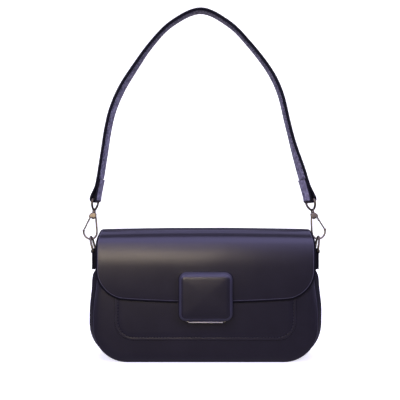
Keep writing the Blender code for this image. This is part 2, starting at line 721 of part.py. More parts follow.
def turned(name, profile, material, parent=None, steps=20):
    """A turned piece from a profile of radius and height, from its top down."""
    bm = bmesh.new()
    points = [bm.verts.new((r, 0, h)) for r, h in profile]
    for a, b in zip(points, points[1:]):
        bm.edges.new((a, b))
    obj = mesh_object(name, bm, material, parent=parent)
    lathe = obj.modifiers.new("lathe", "SCREW")
    lathe.steps = steps
    lathe.render_steps = steps
    lathe.use_merge_vertices = True
    lathe.merge_threshold = FIT_GAP / 100
    return obj


def make_keeper_magnet():
    place = (0, -(PATCH_OUT + FIT_GAP + KEEPER_THICKNESS / 2), MAGNET_HEIGHT)
    round_bar("keeper_magnet", MAGNET_RADIUS, KEEPER_THICKNESS, place, "Y", magnet_metal, sides=32)


# Side tabs and rings

def make_tab(name, side):
    """A strip folded round the ring's bar and closed below it by a rivet."""
    bar = (RING_REACH, RING_BAR_HEIGHT)
    waist = TAB_LEATHER + FIT_GAP / 2
    fold_drop = sqrt(TAB_HALF**2 - waist**2)
    neck = bar[1] - fold_drop * TAB_NECK_SHARE
    right = [(bar[0] + waist, TAB_FOOT), (bar[0] + waist, neck)]
    left = [(bar[0] - waist, neck), (bar[0] - waist, TAB_FOOT)]
    fold_start = -atan2(fold_drop, waist)
    fold = arc(bar, TAB_HALF, fold_start, pi - fold_start, 14)
    outline = [(side * x, z) for x, z in right + fold + left]
    bore = [(side * x, z) for x, z in arc(bar, RING_WIRE_RADIUS + TAB_BORE_GAP, 0, 2 * pi, 16)[:-1]]
    tab = plate(name, outline, -TAB_WIDTH / 2, TAB_WIDTH, None, holes=(bore,))
    tab = meshed(tab)
    tab.data.materials.append(edge_leather)
    place = (side * RING_REACH, 0, RING_BAR_HEIGHT - TAB_RIVET_DROP)
    radius = TAB_RIVET_RADIUS + PIN_GAP
    hole = round_bar(f"{name}_hole", radius, 2 * TAB_WIDTH, place, "X", None, cutters, sides=16)
    combine(tab, hole, "DIFFERENCE")
    make_tab_rivet(name.replace("tab", "tab_rivet"), place)


def make_tab_rivet(name, place):
    """A turned rivet with a low head on each face of the tab."""
    half = TAB_LEATHER + FIT_GAP / 2 + PIN_GAP
    upper = [
        (TAB_RIVET_HEAD_RADIUS * r, half + TAB_RIVET_HEAD_THICKNESS * h) for r, h in TAB_RIVET_DOME_SHARES
    ]
    upper.append((TAB_RIVET_RADIUS, half))
    lower = [(r, -h) for r, h in reversed(upper)]
    rivet = turned(name, upper + lower, pale_gold, steps=16)
    rivet.rotation_euler = (0, pi / 2, 0)
    rivet.location = place


def make_ring(name, side, lean):
    """A D ring: a straight bar in the tab's fold, two short legs and a round top."""
    axis = empty(f"{name}_axis", (side * RING_REACH, 0, RING_BAR_HEIGHT), (0, side * lean, 0))
    centre = (0, RING_HEIGHT - RING_RADIUS)
    low = RING_RADIUS - RING_CORNER
    path = arc(centre, RING_RADIUS, 0, pi, 16)
    path += arc((-low, RING_CORNER), RING_CORNER, pi, 1.5 * pi, 4)
    path += arc((low, RING_CORNER), RING_CORNER, -0.5 * pi, 0, 4)
    points = [(0, y, z) for y, z in path]
    wire(name, points, RING_WIRE, pale_gold, closed=True, parent=axis)


# Hooks. Their own frames have X outwards from the bag, Y across and Z up the hook.

def hook_frame(name, side, lean, tilt):
    """The axis that a hook swivels on, from the hook's bottom, which holds the ring's top."""
    hold = HOOK_WIRE + HOOK_GAP + RING_WIRE_RADIUS
    top_out = RING_REACH + RING_HEIGHT * sin(lean)
    top_up = RING_BAR_HEIGHT + RING_HEIGHT * cos(lean)
    out = top_out + hold * sin(tilt)
    up = top_up - hold * cos(tilt)
    axis = empty(f"hook_{name}_axis", (side * out, 0, up), (0, -side * tilt, 0))
    bar = (side * (out - EYE_BAR_HEIGHT * sin(tilt)), up + EYE_BAR_HEIGHT * cos(tilt))
    return axis, bar


def make_hook(name, side, axis):
    """The hook's base with its slot and bores, its spine and bottom, and the knob at its nose."""
    head = BASE_FOOT + BASE_HEIGHT
    cheek_foot = BASE_FOOT - CHEEK_DROP
    cheek_head = cheek_foot + CHEEK_HEIGHT
    cheek_root = STEM_HEAD_RADIUS + FIT_GAP
    outline = [
        (-BASE_HALF, BASE_FOOT), (cheek_root, BASE_FOOT),
        (cheek_root + BASE_ROUNDING, cheek_foot), (CHEEK_REACH - BASE_ROUNDING, cheek_foot),
        (CHEEK_REACH, cheek_foot + BASE_ROUNDING), (CHEEK_REACH, cheek_head - BASE_ROUNDING),
        (BASE_HALF, head - BASE_ROUNDING), (BASE_HALF - BASE_ROUNDING, head),
        (-BASE_HALF + BASE_ROUNDING, head), (-BASE_HALF, head - BASE_ROUNDING),
    ]
    outline = [(side * x, z) for x, z in outline]
    hook = meshed(plate(name, outline, -BASE_DEPTH / 2, BASE_DEPTH, None, parent=axis))
    hook.data.materials.append(pale_gold)

    route = [(side * HOOK_SPAN * x, 0, HOOK_RISE * z) for x, z in HOOK_ROUTE_SHARES]
    bow = meshed(wire(f"{name}_bow", smooth_through(route, 3), HOOK_WIRE, None, parent=axis))
    combine(hook, bow, "UNION")
    bm = bmesh.new()
    bmesh.ops.create_uvsphere(bm, u_segments=12, v_segments=8, radius=KNOB_RADIUS)
    knob = mesh_object(f"{name}_knob", bm, None, cutters, axis)
    knob.location = route[-1]
    combine(hook, knob, "UNION")

    slot_low = (SLOT_ROOT, -SLOT_WIDTH / 2, cheek_foot - CUT_OVERRUN)
    slot_high = (CHEEK_REACH + CUT_OVERRUN, SLOT_WIDTH / 2, head + CUT_OVERRUN)
    slot_low, slot_high = (
        (min(side * slot_low[0], side * slot_high[0]), *slot_low[1:]),
        (max(side * slot_low[0], side * slot_high[0]), *slot_high[1:]),
    )
    combine(hook, block(f"{name}_slot", slot_low, slot_high, None, cutters, axis), "DIFFERENCE")
    middle = (0, 0, BASE_FOOT + BASE_HEIGHT / 2)
    depth = BASE_HEIGHT + 2 * CUT_OVERRUN
    bore = round_bar(f"{name}_bore", STEM_RADIUS + PIN_GAP, depth, middle, "Z", None, cutters, axis, 16)
    combine(hook, bore, "DIFFERENCE")
    pivot = (side * GATE_PIVOT_OUT, 0, GATE_PIVOT_UP)
    depth = BASE_DEPTH + 2 * CUT_OVERRUN
    pin_hole = round_bar(f"{name}_pin_hole", PIN_RADIUS + PIN_GAP, depth, pivot, "Y", None, cutters, axis, 12)
    combine(hook, pin_hole, "DIFFERENCE")


def make_gate(name, side, axis):
    """The gate: a bar from its pivot in the hook's base down to the nose."""
    pivot = (side * GATE_PIVOT_OUT, 0, GATE_PIVOT_UP)
    nose_out, nose_up = (HOOK_SPAN * HOOK_ROUTE_SHARES[-1][0], HOOK_RISE * HOOK_ROUTE_SHARES[-1][1])
    reach = Vector((nose_out - GATE_PIVOT_OUT, nose_up - GATE_PIVOT_UP))
    end = reach * (1 - (KNOB_RADIUS + FIT_GAP) / reach.length)
    start = reach * (GATE_EYELET_RADIUS / 2 / reach.length)
    gate_axis = empty(f"{name}_axis", pivot)
    gate_axis.parent = axis
    eyelet = round_bar(
        name, GATE_EYELET_RADIUS, GATE_DEPTH, (0, 0, 0), "Y", pale_gold, parent=gate_axis, sides=16
    )
    points = [(side * start.x, 0, start.y), (side * end.x, 0, end.y)]
    bar = meshed(wire(f"{name}_bar", points, GATE_WIRE, None, parent=gate_axis))
    combine(eyelet, bar, "UNION")
    depth = GATE_DEPTH + 2 * CUT_OVERRUN
    bore_radius = PIN_RADIUS + 2 * PIN_GAP
    bore = round_bar(f"{name}_bore", bore_radius, depth, (0, 0, 0), "Y", None, cutters, gate_axis, 12)
    combine(eyelet, bore, "DIFFERENCE")
    pin_name = name.replace("gate", "gate_pin")
    round_bar(pin_name, PIN_RADIUS, PIN_LENGTH, pivot, "Y", pale_gold, parent=axis, sides=12)


def make_gate_spring(name, side, axis):
    """A leaf spring beside the gate: upright in the slot, then bent out along the gate."""
    gate_run = atan2(GATE_PIVOT_UP - HOOK_RISE * HOOK_ROUTE_SHARES[-1][1],
                     HOOK_SPAN * HOOK_ROUTE_SHARES[-1][0] - GATE_PIVOT_OUT)
    touch_up = BASE_FOOT - BASE_HEIGHT
    down = GATE_PIVOT_UP - touch_up
    beside = (GATE_WIRE / 2 + FIT_GAP + SPRING_THICKNESS / 2) / sin(gate_run)
    touch_out = GATE_PIVOT_OUT + down / tan(gate_run) - beside
    bend_out = SPRING_ROOT + (touch_out - SPRING_ROOT) * SPRING_BEND_SHARE
    route = [
        (side * SPRING_ROOT, GATE_PIVOT_UP + GATE_EYELET_RADIUS),
        (side * SPRING_ROOT, GATE_PIVOT_UP),
        (side * bend_out, (GATE_PIVOT_UP + touch_up) / 2),
        (side * touch_out, touch_up),
    ]
    outline = ribbon_outline(smooth_through(route, 3), SPRING_THICKNESS)
    plate(name, outline, -SPRING_WIDTH / 2, SPRING_WIDTH, spring_steel, parent=axis)


def make_eye(name, side, axis, turn):
    """The swivel eye: a wide wire loop for the strap, on a stem with a head."""
    frame = empty(f"{name}_axis", (0, 0, 0), (0, 0, side * turn))
    frame.parent = axis
    height = EYE_BAR_HEIGHT - EYE_FOOT
    one_side = [(0, EYE_HALF * y, EYE_FOOT + height * z) for y, z in EYE_SIDE_SHARES]
    other_side = [(0, -y, z) for _, y, z in reversed(one_side)]
    bar_ends = [(0, y * EYE_HALF * EYE_BAR_SHARE, EYE_BAR_HEIGHT) for y in (1, -1)]
    loop = wire(f"{name}_loop", one_side + bar_ends + other_side, EYE_WIRE, None, True, frame)
    loop = meshed(loop)
    foot = BASE_FOOT - FIT_GAP - STEM_HEAD_THICKNESS
    collar_foot = BASE_FOOT + BASE_HEIGHT + FIT_GAP
    profile = [
        (0, STEM_TOP), (STEM_RADIUS, STEM_TOP), (COLLAR_RADIUS - COLLAR_ROUNDING, COLLAR_HEAD),
        (COLLAR_RADIUS, COLLAR_HEAD - COLLAR_ROUNDING), (COLLAR_RADIUS, collar_foot + COLLAR_ROUNDING),
        (COLLAR_RADIUS - COLLAR_ROUNDING, collar_foot), (STEM_RADIUS, collar_foot),
        (STEM_RADIUS, BASE_FOOT - FIT_GAP),
    ]
    profile += [(STEM_HEAD_RADIUS * r, foot + STEM_HEAD_THICKNESS * h) for r, h in STEM_HEAD_SHARES]
    profile.append((0, foot))
    stem = turned(name, profile, pale_gold, frame, steps=16)
    combine(stem, loop, "UNION")


# Strap

def turn_end(solid, side, bar, tilt, angle):
    """Turn the strap's end about its hook's axis, fading out up the strap."""
    up = Vector((-side * sin(tilt), 0, cos(tilt)))
    centre = Vector((bar[0], 0, bar[1]))
    for vertex in solid.data.vertices:
        if vertex.co.x * side < 0:
            continue
        fade = 1 - ease((vertex.co.z - TURN_FADE_FROM) / (TURN_FADE_TO - TURN_FADE_FROM))
        turn = Matrix.Rotation(side * angle * fade, 3, up)
        vertex.co = turn @ (vertex.co - centre) + centre


def strap_lines(bars):
    """The strap's middle line with both folded ends, and the line of its lining."""
    route = [
        Vector((STRAP_HALF_SPAN * x, STRAP_FOOT + STRAP_RISE * z)) for x, z in STRAP_ROUTE_SHARES
    ]
    fold_gap = STRAP_THICKNESS + FIT_GAP
    flat = LOOP_HALF - LOOP_DROP
    loop = [(-LOOP_HALF, LOOP_UPRIGHT), *arc((-flat, 0), LOOP_DROP, -pi, -pi / 2, 5)]
    loop += [*arc((flat, 0), LOOP_DROP, -pi / 2, 0, 5), (LOOP_HALF, LOOP_UPRIGHT)]
    ends = {}
    for (name, side), first, step in zip(SIDES, (0, len(route) - 1), (1, -1)):
        bar = Vector(bars[name])
        fold = []
        for k in range(FOLD_PLACES):
            here = route[first + k * step]
            run = (route[first + (k + 1) * step] - here).normalized()
            fold.append(here + Vector((run.y, -run.x)) * -side * fold_gap)
        ends[name] = fold[::-1] + [bar + Vector((side * x, z)) for x, z in loop]
    whole = ends["left"] + route + ends["right"][::-1]
    return whole, route


def leg_turn(point):
    """How far the strap is turned to show its inner face, at a place on its middle line."""
    rise = ease((point.y - TURN_FADE_FROM) / (TURN_FADE_TO - TURN_FADE_FROM))
    fall = ease((point.y - LEG_TURN_FADE_FROM) / (LEG_TURN_FADE_TO - LEG_TURN_FADE_FROM))
    return LEG_TURNS["left" if point.x < 0 else "right"] * rise * (1 - fall)


def ribbon(name, line, width, thickness, material, inwards=0):
    """A flat strap along a line in the XZ plane, or inwards of it, thick to both sides."""
    rows = []
    for k, point in enumerate(line):
        run = (line[min(k + 1, len(line) - 1)] - line[max(k - 1, 0)]).normalized()
        inner = Vector((run.y, 0, -run.x))
        turn = leg_turn(point)
        across = Vector((0, cos(turn), 0)) + inner * sin(turn)
        facing = inner * cos(turn) - Vector((0, sin(turn), 0))
        middle = Vector((point.x, 0, point.y)) + facing * inwards
        rows.append([middle - across * width / 2, middle + across * width / 2])
    return sheet(name, rows, thickness, (-1, 0, 0), material, offset=0)


def make_strap(bars):
    whole, route = strap_lines(bars)
    line = smooth_through(whole, 4, LOOP_DROP)
    band = ribbon("strap_band", line, STRAP_WIDTH, STRAP_THICKNESS, body_leather)

    inwards = (STRAP_THICKNESS + STRAP_LINING_THICKNESS) / 2 + FIT_GAP
    line = smooth_through(route[1:-1], 4)
    for end, beside in ((0, 1), (-1, -2)):
        line[end] = line[end] + (line[beside] - line[end]).normalized() * 2 * FIT_GAP
    thickness = STRAP_LINING_THICKNESS
    lining = ribbon("strap_lining", line, STRAP_LINING_WIDTH, thickness, strap_inner_leather, inwards)
    return band, lining


# The bag

make_panels()
make_gusset()
make_front_patch()
make_lining()
make_facings()
make_base_board()
make_flap_tail()
make_keeper_magnet()

flap_hinge = empty("flap_hinge", (0, HINGE_Y, HINGE_Z))
make_flap(flap_hinge)
make_clasp(flap_hinge)

strap_hinge = empty("strap_hinge", (0, 0, SWING_Z))
eye_bars = {}
for side_name, side_sign in SIDES:
    make_tab(f"tab_{side_name}", side_sign)
    ring_lean = RING_LEANS[side_name]
    make_ring(f"ring_{side_name}", side_sign, ring_lean)
    hook_axis, eye_bars[side_name] = hook_frame(side_name, side_sign, ring_lean, HOOK_TILTS[side_name])
    make_hook(f"hook_{side_name}", side_sign, hook_axis)
    make_gate(f"gate_{side_name}", side_sign, hook_axis)
    make_gate_spring(f"gate_spring_{side_name}", side_sign, hook_axis)
    make_eye(f"eye_{side_name}", side_sign, hook_axis, EYE_TURNS[side_name])

strap_pieces = make_strap(eye_bars)
for strap_piece in strap_pieces:
    for side_name, side_sign in SIDES:
        turn_end(strap_piece, side_sign, eye_bars[side_name], HOOK_TILTS[side_name], EYE_TURNS[side_name])
    hang_on(strap_piece, strap_hinge)
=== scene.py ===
# %% [markdown]
# A small structured shoulder bag in near-black leather. A flap closes over its front with a
# square leather-covered clasp, and a short flat strap hangs on two gold swivel hooks. The packed
# model gives the frame: every piece here is in metres, +Z up, and the bag's front faces -Y.

import bmesh
import bpy
from bisect import bisect
from math import asin, atan2, cos, pi, radians, sin, sqrt
from mathutils import Matrix, Vector, noise
from mathutils.geometry import delaunay_2d_cdt, intersect_point_line


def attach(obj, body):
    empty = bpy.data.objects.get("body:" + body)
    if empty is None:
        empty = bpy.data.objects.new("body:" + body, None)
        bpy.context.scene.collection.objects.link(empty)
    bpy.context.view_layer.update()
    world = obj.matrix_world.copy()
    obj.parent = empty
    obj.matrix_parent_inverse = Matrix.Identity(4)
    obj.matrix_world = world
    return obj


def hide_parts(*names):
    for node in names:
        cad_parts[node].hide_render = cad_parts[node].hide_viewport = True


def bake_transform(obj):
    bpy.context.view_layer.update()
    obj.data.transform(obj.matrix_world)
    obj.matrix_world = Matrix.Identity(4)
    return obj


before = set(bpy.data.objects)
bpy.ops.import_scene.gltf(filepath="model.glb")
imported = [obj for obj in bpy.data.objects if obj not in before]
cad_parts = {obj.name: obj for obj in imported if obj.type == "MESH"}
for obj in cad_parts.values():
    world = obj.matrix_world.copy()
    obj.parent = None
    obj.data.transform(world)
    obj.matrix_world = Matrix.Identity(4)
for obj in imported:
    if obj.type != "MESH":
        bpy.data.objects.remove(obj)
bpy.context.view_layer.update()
MM = 0.001
SIDES = (("left", -1), ("right", 1))

# %% [markdown]
# The photograph is taken level with the strap's lower end, straight at the front. A camera could
# be aimed by hand until the edges agree; here its place comes from how the strap, the flap and
# the base line up, so the values are a plain distance, height and focal length.

# %% The camera
CAMERA_PLACE = (-6 * MM, -740 * MM, 174.4 * MM)
LENS_LENGTH = 59.2
SENSOR_WIDTH = 36
NEAREST_SEEN = 10 * MM

camera_data = bpy.data.cameras.new("photo_camera")
camera_data.lens = LENS_LENGTH
camera_data.sensor_width = SENSOR_WIDTH
camera_data.clip_start = NEAREST_SEEN
camera = bpy.data.objects.new("photo_camera", camera_data)
camera.location = CAMERA_PLACE
camera.rotation_euler = (pi / 2, 0, 0)
bpy.context.scene.collection.objects.link(camera)
bpy.context.scene.camera = camera
bpy.context.scene.view_settings.view_transform = "Standard"
print("camera:", [round(k / MM) for k in CAMERA_PLACE], "mm")

# %% [markdown]
# The bag stands in a bright studio, on a white table that has no corner behind it. A flat plane
# with a wall behind would show its corner, so the table is one sheet swept up in a wide curve. It
# glows a little, as a table lit from below does, which keeps the shadows pale. The bag doesn't
# mirror it: what leather and metal mirror is set with the air of the room, further down.

# %% Floor and wall
SWEEP_WIDTH = 9
SWEEP_FRONT = -9
SWEEP_BACK = 1.7
SWEEP_RADIUS = 0.8
SWEEP_HEIGHT = 2.6
SWEEP_STEPS = 24
PAPER = (0.94, 0.94, 0.96)
PAPER_ROUGHNESS = 0.9
PAPER_FINISH = {"Emission Color": (0.97, 0.965, 1.0, 1), "Emission Strength": 0.72, "Specular IOR Level": 0.1}


def plain_material(name, colour, roughness, metallic=0.0, extras=None):
    """A Principled material with its plain values, for the node work to build on."""
    material = bpy.data.materials.new(name)
    material.use_nodes = True
    shader = material.node_tree.nodes["Principled BSDF"]
    plain = {"Base Color": (*colour, 1), "Roughness": roughness, "Metallic": metallic}
    for title, value in {**plain, **(extras or {})}.items():
        shader.inputs[title].default_value = value
    return material, shader


def add_object(name, mesh, *materials):
    obj = bpy.data.objects.new(name, mesh)
    bpy.context.scene.collection.objects.link(obj)
    for material in materials:
        obj.data.materials.append(material)
    return obj


def piece_from(name, bm, *materials):
    """Turn faces that were made one by one into a smooth object that faces outwards."""
    bmesh.ops.recalc_face_normals(bm, faces=bm.faces)
    mesh = bpy.data.meshes.new(name)
    bm.to_mesh(mesh)
    bm.free()
    mesh.shade_smooth()
    return add_object(name, mesh, *materials)


def bridge(bm, above, below, closed=False):
    """Faces between two rows of points. Closed rows join their last point to their first."""
    faces = []
    for k in range(len(above) if closed else len(above) - 1):
        n = (k + 1) % len(above)
        faces.append(bm.faces.new((above[k], above[n], below[n], below[k])))
    return faces


def skin(name, rows, *materials, closed=False):
    """A piece whose faces lie between rows of places."""
    bm = bmesh.new()
    grid = [[bm.verts.new(co) for co in row] for row in rows]
    for above, below in zip(grid, grid[1:]):
        bridge(bm, above, below, closed)
    return piece_from(name, bm, *materials)


def arc(centre, radius, start, end, steps):
    """Points of a round stretch in a plane, from one angle to another."""
    turns = [start + (end - start) * k / steps for k in range(steps + 1)]
    return [(centre[0] + radius * cos(a), centre[1] + radius * sin(a)) for a in turns]


sweep_line = [(SWEEP_FRONT, 0)]
sweep_line += arc((SWEEP_BACK, SWEEP_RADIUS), SWEEP_RADIUS, -pi / 2, 0, SWEEP_STEPS)
sweep_line.append((SWEEP_BACK + SWEEP_RADIUS, SWEEP_HEIGHT))
paper_white, _ = plain_material("paper_white", PAPER, PAPER_ROUGHNESS, extras=PAPER_FINISH)
rows = [[(-SWEEP_WIDTH, y, z), (SWEEP_WIDTH, y, z)] for y, z in sweep_line]
sweep = skin("studio_sweep", rows, paper_white)
sweep.visible_glossy = False
sweep.visible_diffuse = False
print("table:", len(sweep_line), "rows of places")

# %% [markdown]
# The light is soft and cool: one large panel in front and above, one overhead and one at each
# side. A low warm one in front puts a glow on the pad and the metal, and two more light the table
# and the wall. One bare lamp would throw hard shadows; rectangles of light, as in a photographer's studio,
# keep them soft. The camera sees none of them.

# %% Lights
# Name, place, what it is turned to, width and height, power and colour
OBJECT_LIGHTS = (
    ("top_light", (0.0, 0.1, 1.4), (0, 0, 0.1), (1.4, 0.9), 8, (0.55, 0.52, 1.0)),
    ("front_light", (0.0, -1.25, 0.77), (0, 0, 0.12), (2.2, 0.9), 22, (0.54, 0.50, 1.0)),
    ("warm_light", (-0.24, -1.5, 0.20), (0, -0.04, 0.11), (0.60, 0.09), 3.3, (1.0, 0.84, 0.62)),
    ("left_light", (-1.0, -0.95, 0.3), (0, 0, 0.1), (0.5, 0.8), 1.2, (0.60, 0.56, 1.0)),
    ("right_light", (1.0, -0.95, 0.3), (0, 0, 0.1), (0.5, 0.8), 1.2, (0.60, 0.56, 1.0)),
)
TABLE_LIGHTS = (
    ("back_light", (0, 0.9, 1.9), (0, 2.4, 0.8), (3, 0.6), 20, (1.0, 1.0, 1.0)),
    ("floor_light", (0, 0.4, 2.1), (0, 0.2, 0), (2.6, 1.6), 14, (1.0, 1.0, 1.0)),
)


def add_light(name, place, target, size, power, colour):
    """A soft rectangular light at a place, turned to a target."""
    data = bpy.data.lights.new(name, "AREA")
    data.shape = "RECTANGLE"
    data.size, data.size_y = size
    data.energy = power
    data.color = colour
    light = bpy.data.objects.new(name, data)
    light.location = place
    aim = Vector(target) - Vector(place)
    light.rotation_euler = aim.to_track_quat("-Z", "Y").to_euler()
    light.visible_camera = False
    bpy.context.scene.collection.objects.link(light)
    return light


for setup in OBJECT_LIGHTS:
    add_light(*setup)
for setup in TABLE_LIGHTS:
    add_light(*setup).visible_glossy = False
print("lights:", len(OBJECT_LIGHTS) + len(TABLE_LIGHTS))

# %% [markdown]
# The air of the room and every finish are built of shader nodes. Nodes can be laid out one line at
# a time, but the same few come back everywhere, so each has a short function that makes it, feeds
# it and gives back what it puts out.

# %% Node helpers
def add_node(tree, kind, inputs=None, **settings):
    """A node with its settings. Inputs are plain values or the sockets that feed them."""
    node = tree.nodes.new(kind)
    for key, value in settings.items():
        setattr(node, key, value)
    for key, value in (inputs or {}).items():
        if isinstance(value, bpy.types.NodeSocket):
            tree.links.new(value, node.inputs[key])
        else:
            node.inputs[key].default_value = value
    return node


def maths(tree, operation, a, b=0.0, clamp=False):
    return add_node(tree, "ShaderNodeMath", {0: a, 1: b}, operation=operation, use_clamp=clamp).outputs[0]


def mix_colour(tree, share, a, b):
    node = add_node(tree, "ShaderNodeMix", {0: share, 6: a, 7: b}, data_type="RGBA")
    return node.outputs[2]


def between(tree, value, low, high):
    """A value as a share of a range, held at its ends."""
    inputs = {"Value": value, "From Min": low, "From Max": high}
    return add_node(tree, "ShaderNodeMapRange", inputs).outputs["Result"]


def object_places(tree):
    return add_node(tree, "ShaderNodeTexCoord").outputs["Object"]


def cloudy(tree, places, scale, detail, **more):
    """An uneven value from 0 to 1 that drifts over a surface."""
    inputs = {"Vector": places, "Scale": scale, "Detail": detail, **more}
    return add_node(tree, "ShaderNodeTexNoise", inputs).outputs["Fac"]


# %% [markdown]
# Round the set the room is dim, so that polished metal and dark leather have something dark to
# mirror, while a visitor sees pale paper everywhere. The world holds both: pale light for the eye
# and the shadows, and for what the surfaces mirror a dark level, lighter above and below it.

# %% The room
ROOM_LEVEL = (0.030, 0.028, 0.036, 1)
ROOM_ABOVE = (0.31, 0.29, 0.42, 1)
ROOM_BELOW = (0.26, 0.235, 0.31, 1)
AIR_LIGHT = (0.20, 0.185, 0.22, 1)
SEEN_AIR = (1, 1, 1, 1)
# How steeply a line of sight rises or falls where each lighter part of the room starts and is full
ROOM_PARTS = ((ROOM_ABOVE, 0.0, 0.8), (ROOM_BELOW, -0.08, -0.55))

world = bpy.data.worlds.new("studio_air")
world.use_nodes = True
air = world.node_tree
sight = add_node(air, "ShaderNodeTexCoord").outputs["Generated"]
rise = add_node(air, "ShaderNodeSeparateXYZ", {0: sight}).outputs["Z"]
rays = add_node(air, "ShaderNodeLightPath").outputs
room = ROOM_LEVEL
for colour, start, full in ROOM_PARTS:
    room = mix_colour(air, between(air, rise, start, full), room, colour)
for way, colour in (("Is Diffuse Ray", AIR_LIGHT), ("Is Camera Ray", SEEN_AIR)):
    room = mix_colour(air, rays[way], room, colour)
air.links.new(room, air.nodes["Background"].inputs["Color"])
bpy.context.scene.world = world
print("room:", len(air.nodes), "nodes")

# %% [markdown]
# Leather gets its look from three things: fine pores, slow changes of tone, and a painted highlight
# that makes its edges a little lighter. They could be painted into each material, but the bag has
# seven finishes of leather, so each effect is a node group with its own values in every material
# that uses it. The marks on the metal and the weave of the lining are made in the same way.

# %% Node groups
def make_group(name, inputs, outputs):
    """A shader node group with named inputs and outputs: its tree, what it is given, and its end."""
    tree = bpy.data.node_groups.new(name, "ShaderNodeTree")
    for title, kind, value in inputs:
        socket = tree.interface.new_socket(title, in_out="INPUT", socket_type="NodeSocket" + kind)
        socket.default_value = value
    for title, kind in outputs:
        tree.interface.new_socket(title, in_out="OUTPUT", socket_type="NodeSocket" + kind)
    return tree, add_node(tree, "NodeGroupInput").outputs, add_node(tree, "NodeGroupOutput")


def put_out(tree, out, values):
    """Link what a group has worked out to its outputs."""
    for title, value in values.items():
        tree.links.new(value, out.inputs[title])
    return tree


def make_leather_grain():
    """Pores, fine creases and slow changes of tone."""
    tree, given, out = make_group(
        "leather_grain",
        (("Colour", "Color", (0.01, 0.01, 0.015, 1)), ("Worn Colour", "Color", (0.03, 0.03, 0.04, 1)),
         ("Pores per Metre", "Float", 1400.0), ("Tone per Metre", "Float", 45.0),
         ("Crease Share", "Float", 0.3), ("Roughness", "Float", 0.4), ("Roughness Swing", "Float", 0.06)),
        (("Colour", "Color"), ("Roughness", "Float"), ("Height", "Float")),
    )
    places = object_places(tree)
    fineness = given["Pores per Metre"]
    pores = add_node(tree, "ShaderNodeTexVoronoi", {"Vector": places, "Scale": fineness}, feature="F1")
    tone = cloudy(tree, places, given["Tone per Metre"], 4.0)
    creases = cloudy(tree, places, maths(tree, "MULTIPLY", fineness, 0.25), 6.0)
    pore_height = between(tree, pores.outputs["Distance"], 0.0, 0.5)
    crease_height = maths(tree, "MULTIPLY", creases, given["Crease Share"])
    height = maths(tree, "ADD", maths(tree, "MULTIPLY", pore_height, 0.5), crease_height)
    colour = mix_colour(tree, between(tree, tone, 0.35, 0.7), given["Colour"], given["Worn Colour"])
    swing = maths(tree, "MULTIPLY", maths(tree, "SUBTRACT", tone, 0.5), given["Roughness Swing"])
    rough = maths(tree, "ADD", given["Roughness"], maths(tree, "MULTIPLY", swing, 4.0), clamp=True)
    return put_out(tree, out, {"Colour": colour, "Roughness": rough, "Height": height})


def make_edge_highlight_and_recess():
    """Where a surface turns sharply out, or in with Start above Full: a mask from 0 to 1."""
    tree, given, out = make_group(
        "edge_highlight_and_recess",
        (("Start", "Float", 0.57), ("Full", "Float", 0.70), ("Patchiness", "Float", 0.5),
         ("Patches per Metre", "Float", 160.0)),
        (("Mask", "Float"),),
    )
    point = add_node(tree, "ShaderNodeNewGeometry").outputs["Pointiness"]
    edge = between(tree, point, given["Start"], given["Full"])
    patches = cloudy(tree, object_places(tree), given["Patches per Metre"], 3.0)
    gaps = maths(tree, "SUBTRACT", 1.0, between(tree, patches, 0.4, 0.6))
    missing = maths(tree, "MULTIPLY", given["Patchiness"], gaps)
    mask = maths(tree, "MULTIPLY", edge, maths(tree, "SUBTRACT", 1.0, missing), clamp=True)
    return put_out(tree, out, {"Mask": mask})


def make_metal_marks():
    """Fine wiping marks and a faint cloud of a second colour on plated metal."""
    tree, given, out = make_group(
        "metal_marks",
        (("Colour", "Color", (0.8, 0.7, 0.5, 1)), ("Clouded Colour", "Color", (0.6, 0.5, 0.3, 1)),
         ("Marks per Metre", "Float", 900.0), ("Roughness", "Float", 0.15),
         ("Roughness Swing", "Float", 0.08)),
        (("Colour", "Color"), ("Roughness", "Float"), ("Height", "Float")),
    )
    places = object_places(tree)
    stretched = add_node(tree, "ShaderNodeMapping", {"Vector": places, "Scale": (1.0, 1.0, 0.12)})
    marks = cloudy(tree, stretched.outputs[0], given["Marks per Metre"], 3.0)
    share = between(tree, cloudy(tree, places, 120.0, 3.0), 0.4, 0.7)
    colour = mix_colour(tree, share, given["Colour"], given["Clouded Colour"])
    swing = maths(tree, "MULTIPLY", marks, given["Roughness Swing"])
    rough = maths(tree, "ADD", given["Roughness"], swing)
    return put_out(tree, out, {"Colour": colour, "Roughness": rough, "Height": marks})


def make_plain_weave():
    """Threads over and under one another, in two directions."""
    tree, given, out = make_group(
        "plain_weave",
        (("Colour", "Color", (0.04, 0.04, 0.05, 1)), ("Gap Colour", "Color", (0.01, 0.01, 0.012, 1)),
         ("Threads per Metre", "Float", 1800.0), ("Unevenness", "Float", 0.4)),
        (("Colour", "Color"), ("Height", "Float")),
    )
    places = object_places(tree)
    split = add_node(tree, "ShaderNodeSeparateXYZ", {0: places}).outputs
    waves = []
    for level in (split["X"], maths(tree, "ADD", split["Z"], split["Y"])):
        turns = maths(tree, "MULTIPLY", maths(tree, "MULTIPLY", level, given["Threads per Metre"]), pi)
        waves.append(maths(tree, "ABSOLUTE", maths(tree, "SINE", turns)))
    uneven = maths(tree, "MULTIPLY", cloudy(tree, places, 400.0, 4.0), given["Unevenness"])
    height = maths(tree, "ADD", maths(tree, "MULTIPLY", *waves), uneven)
    share = maths(tree, "MULTIPLY", height, 0.8, clamp=True)
    colour = mix_colour(tree, share, given["Gap Colour"], given["Colour"])
    return put_out(tree, out, {"Colour": colour, "Height": height})


leather_grain = make_leather_grain()
edge_highlight_and_recess = make_edge_highlight_and_recess()
metal_marks = make_metal_marks()
plain_weave = make_plain_weave()
print("node groups:", [g.name for g in bpy.data.node_groups])
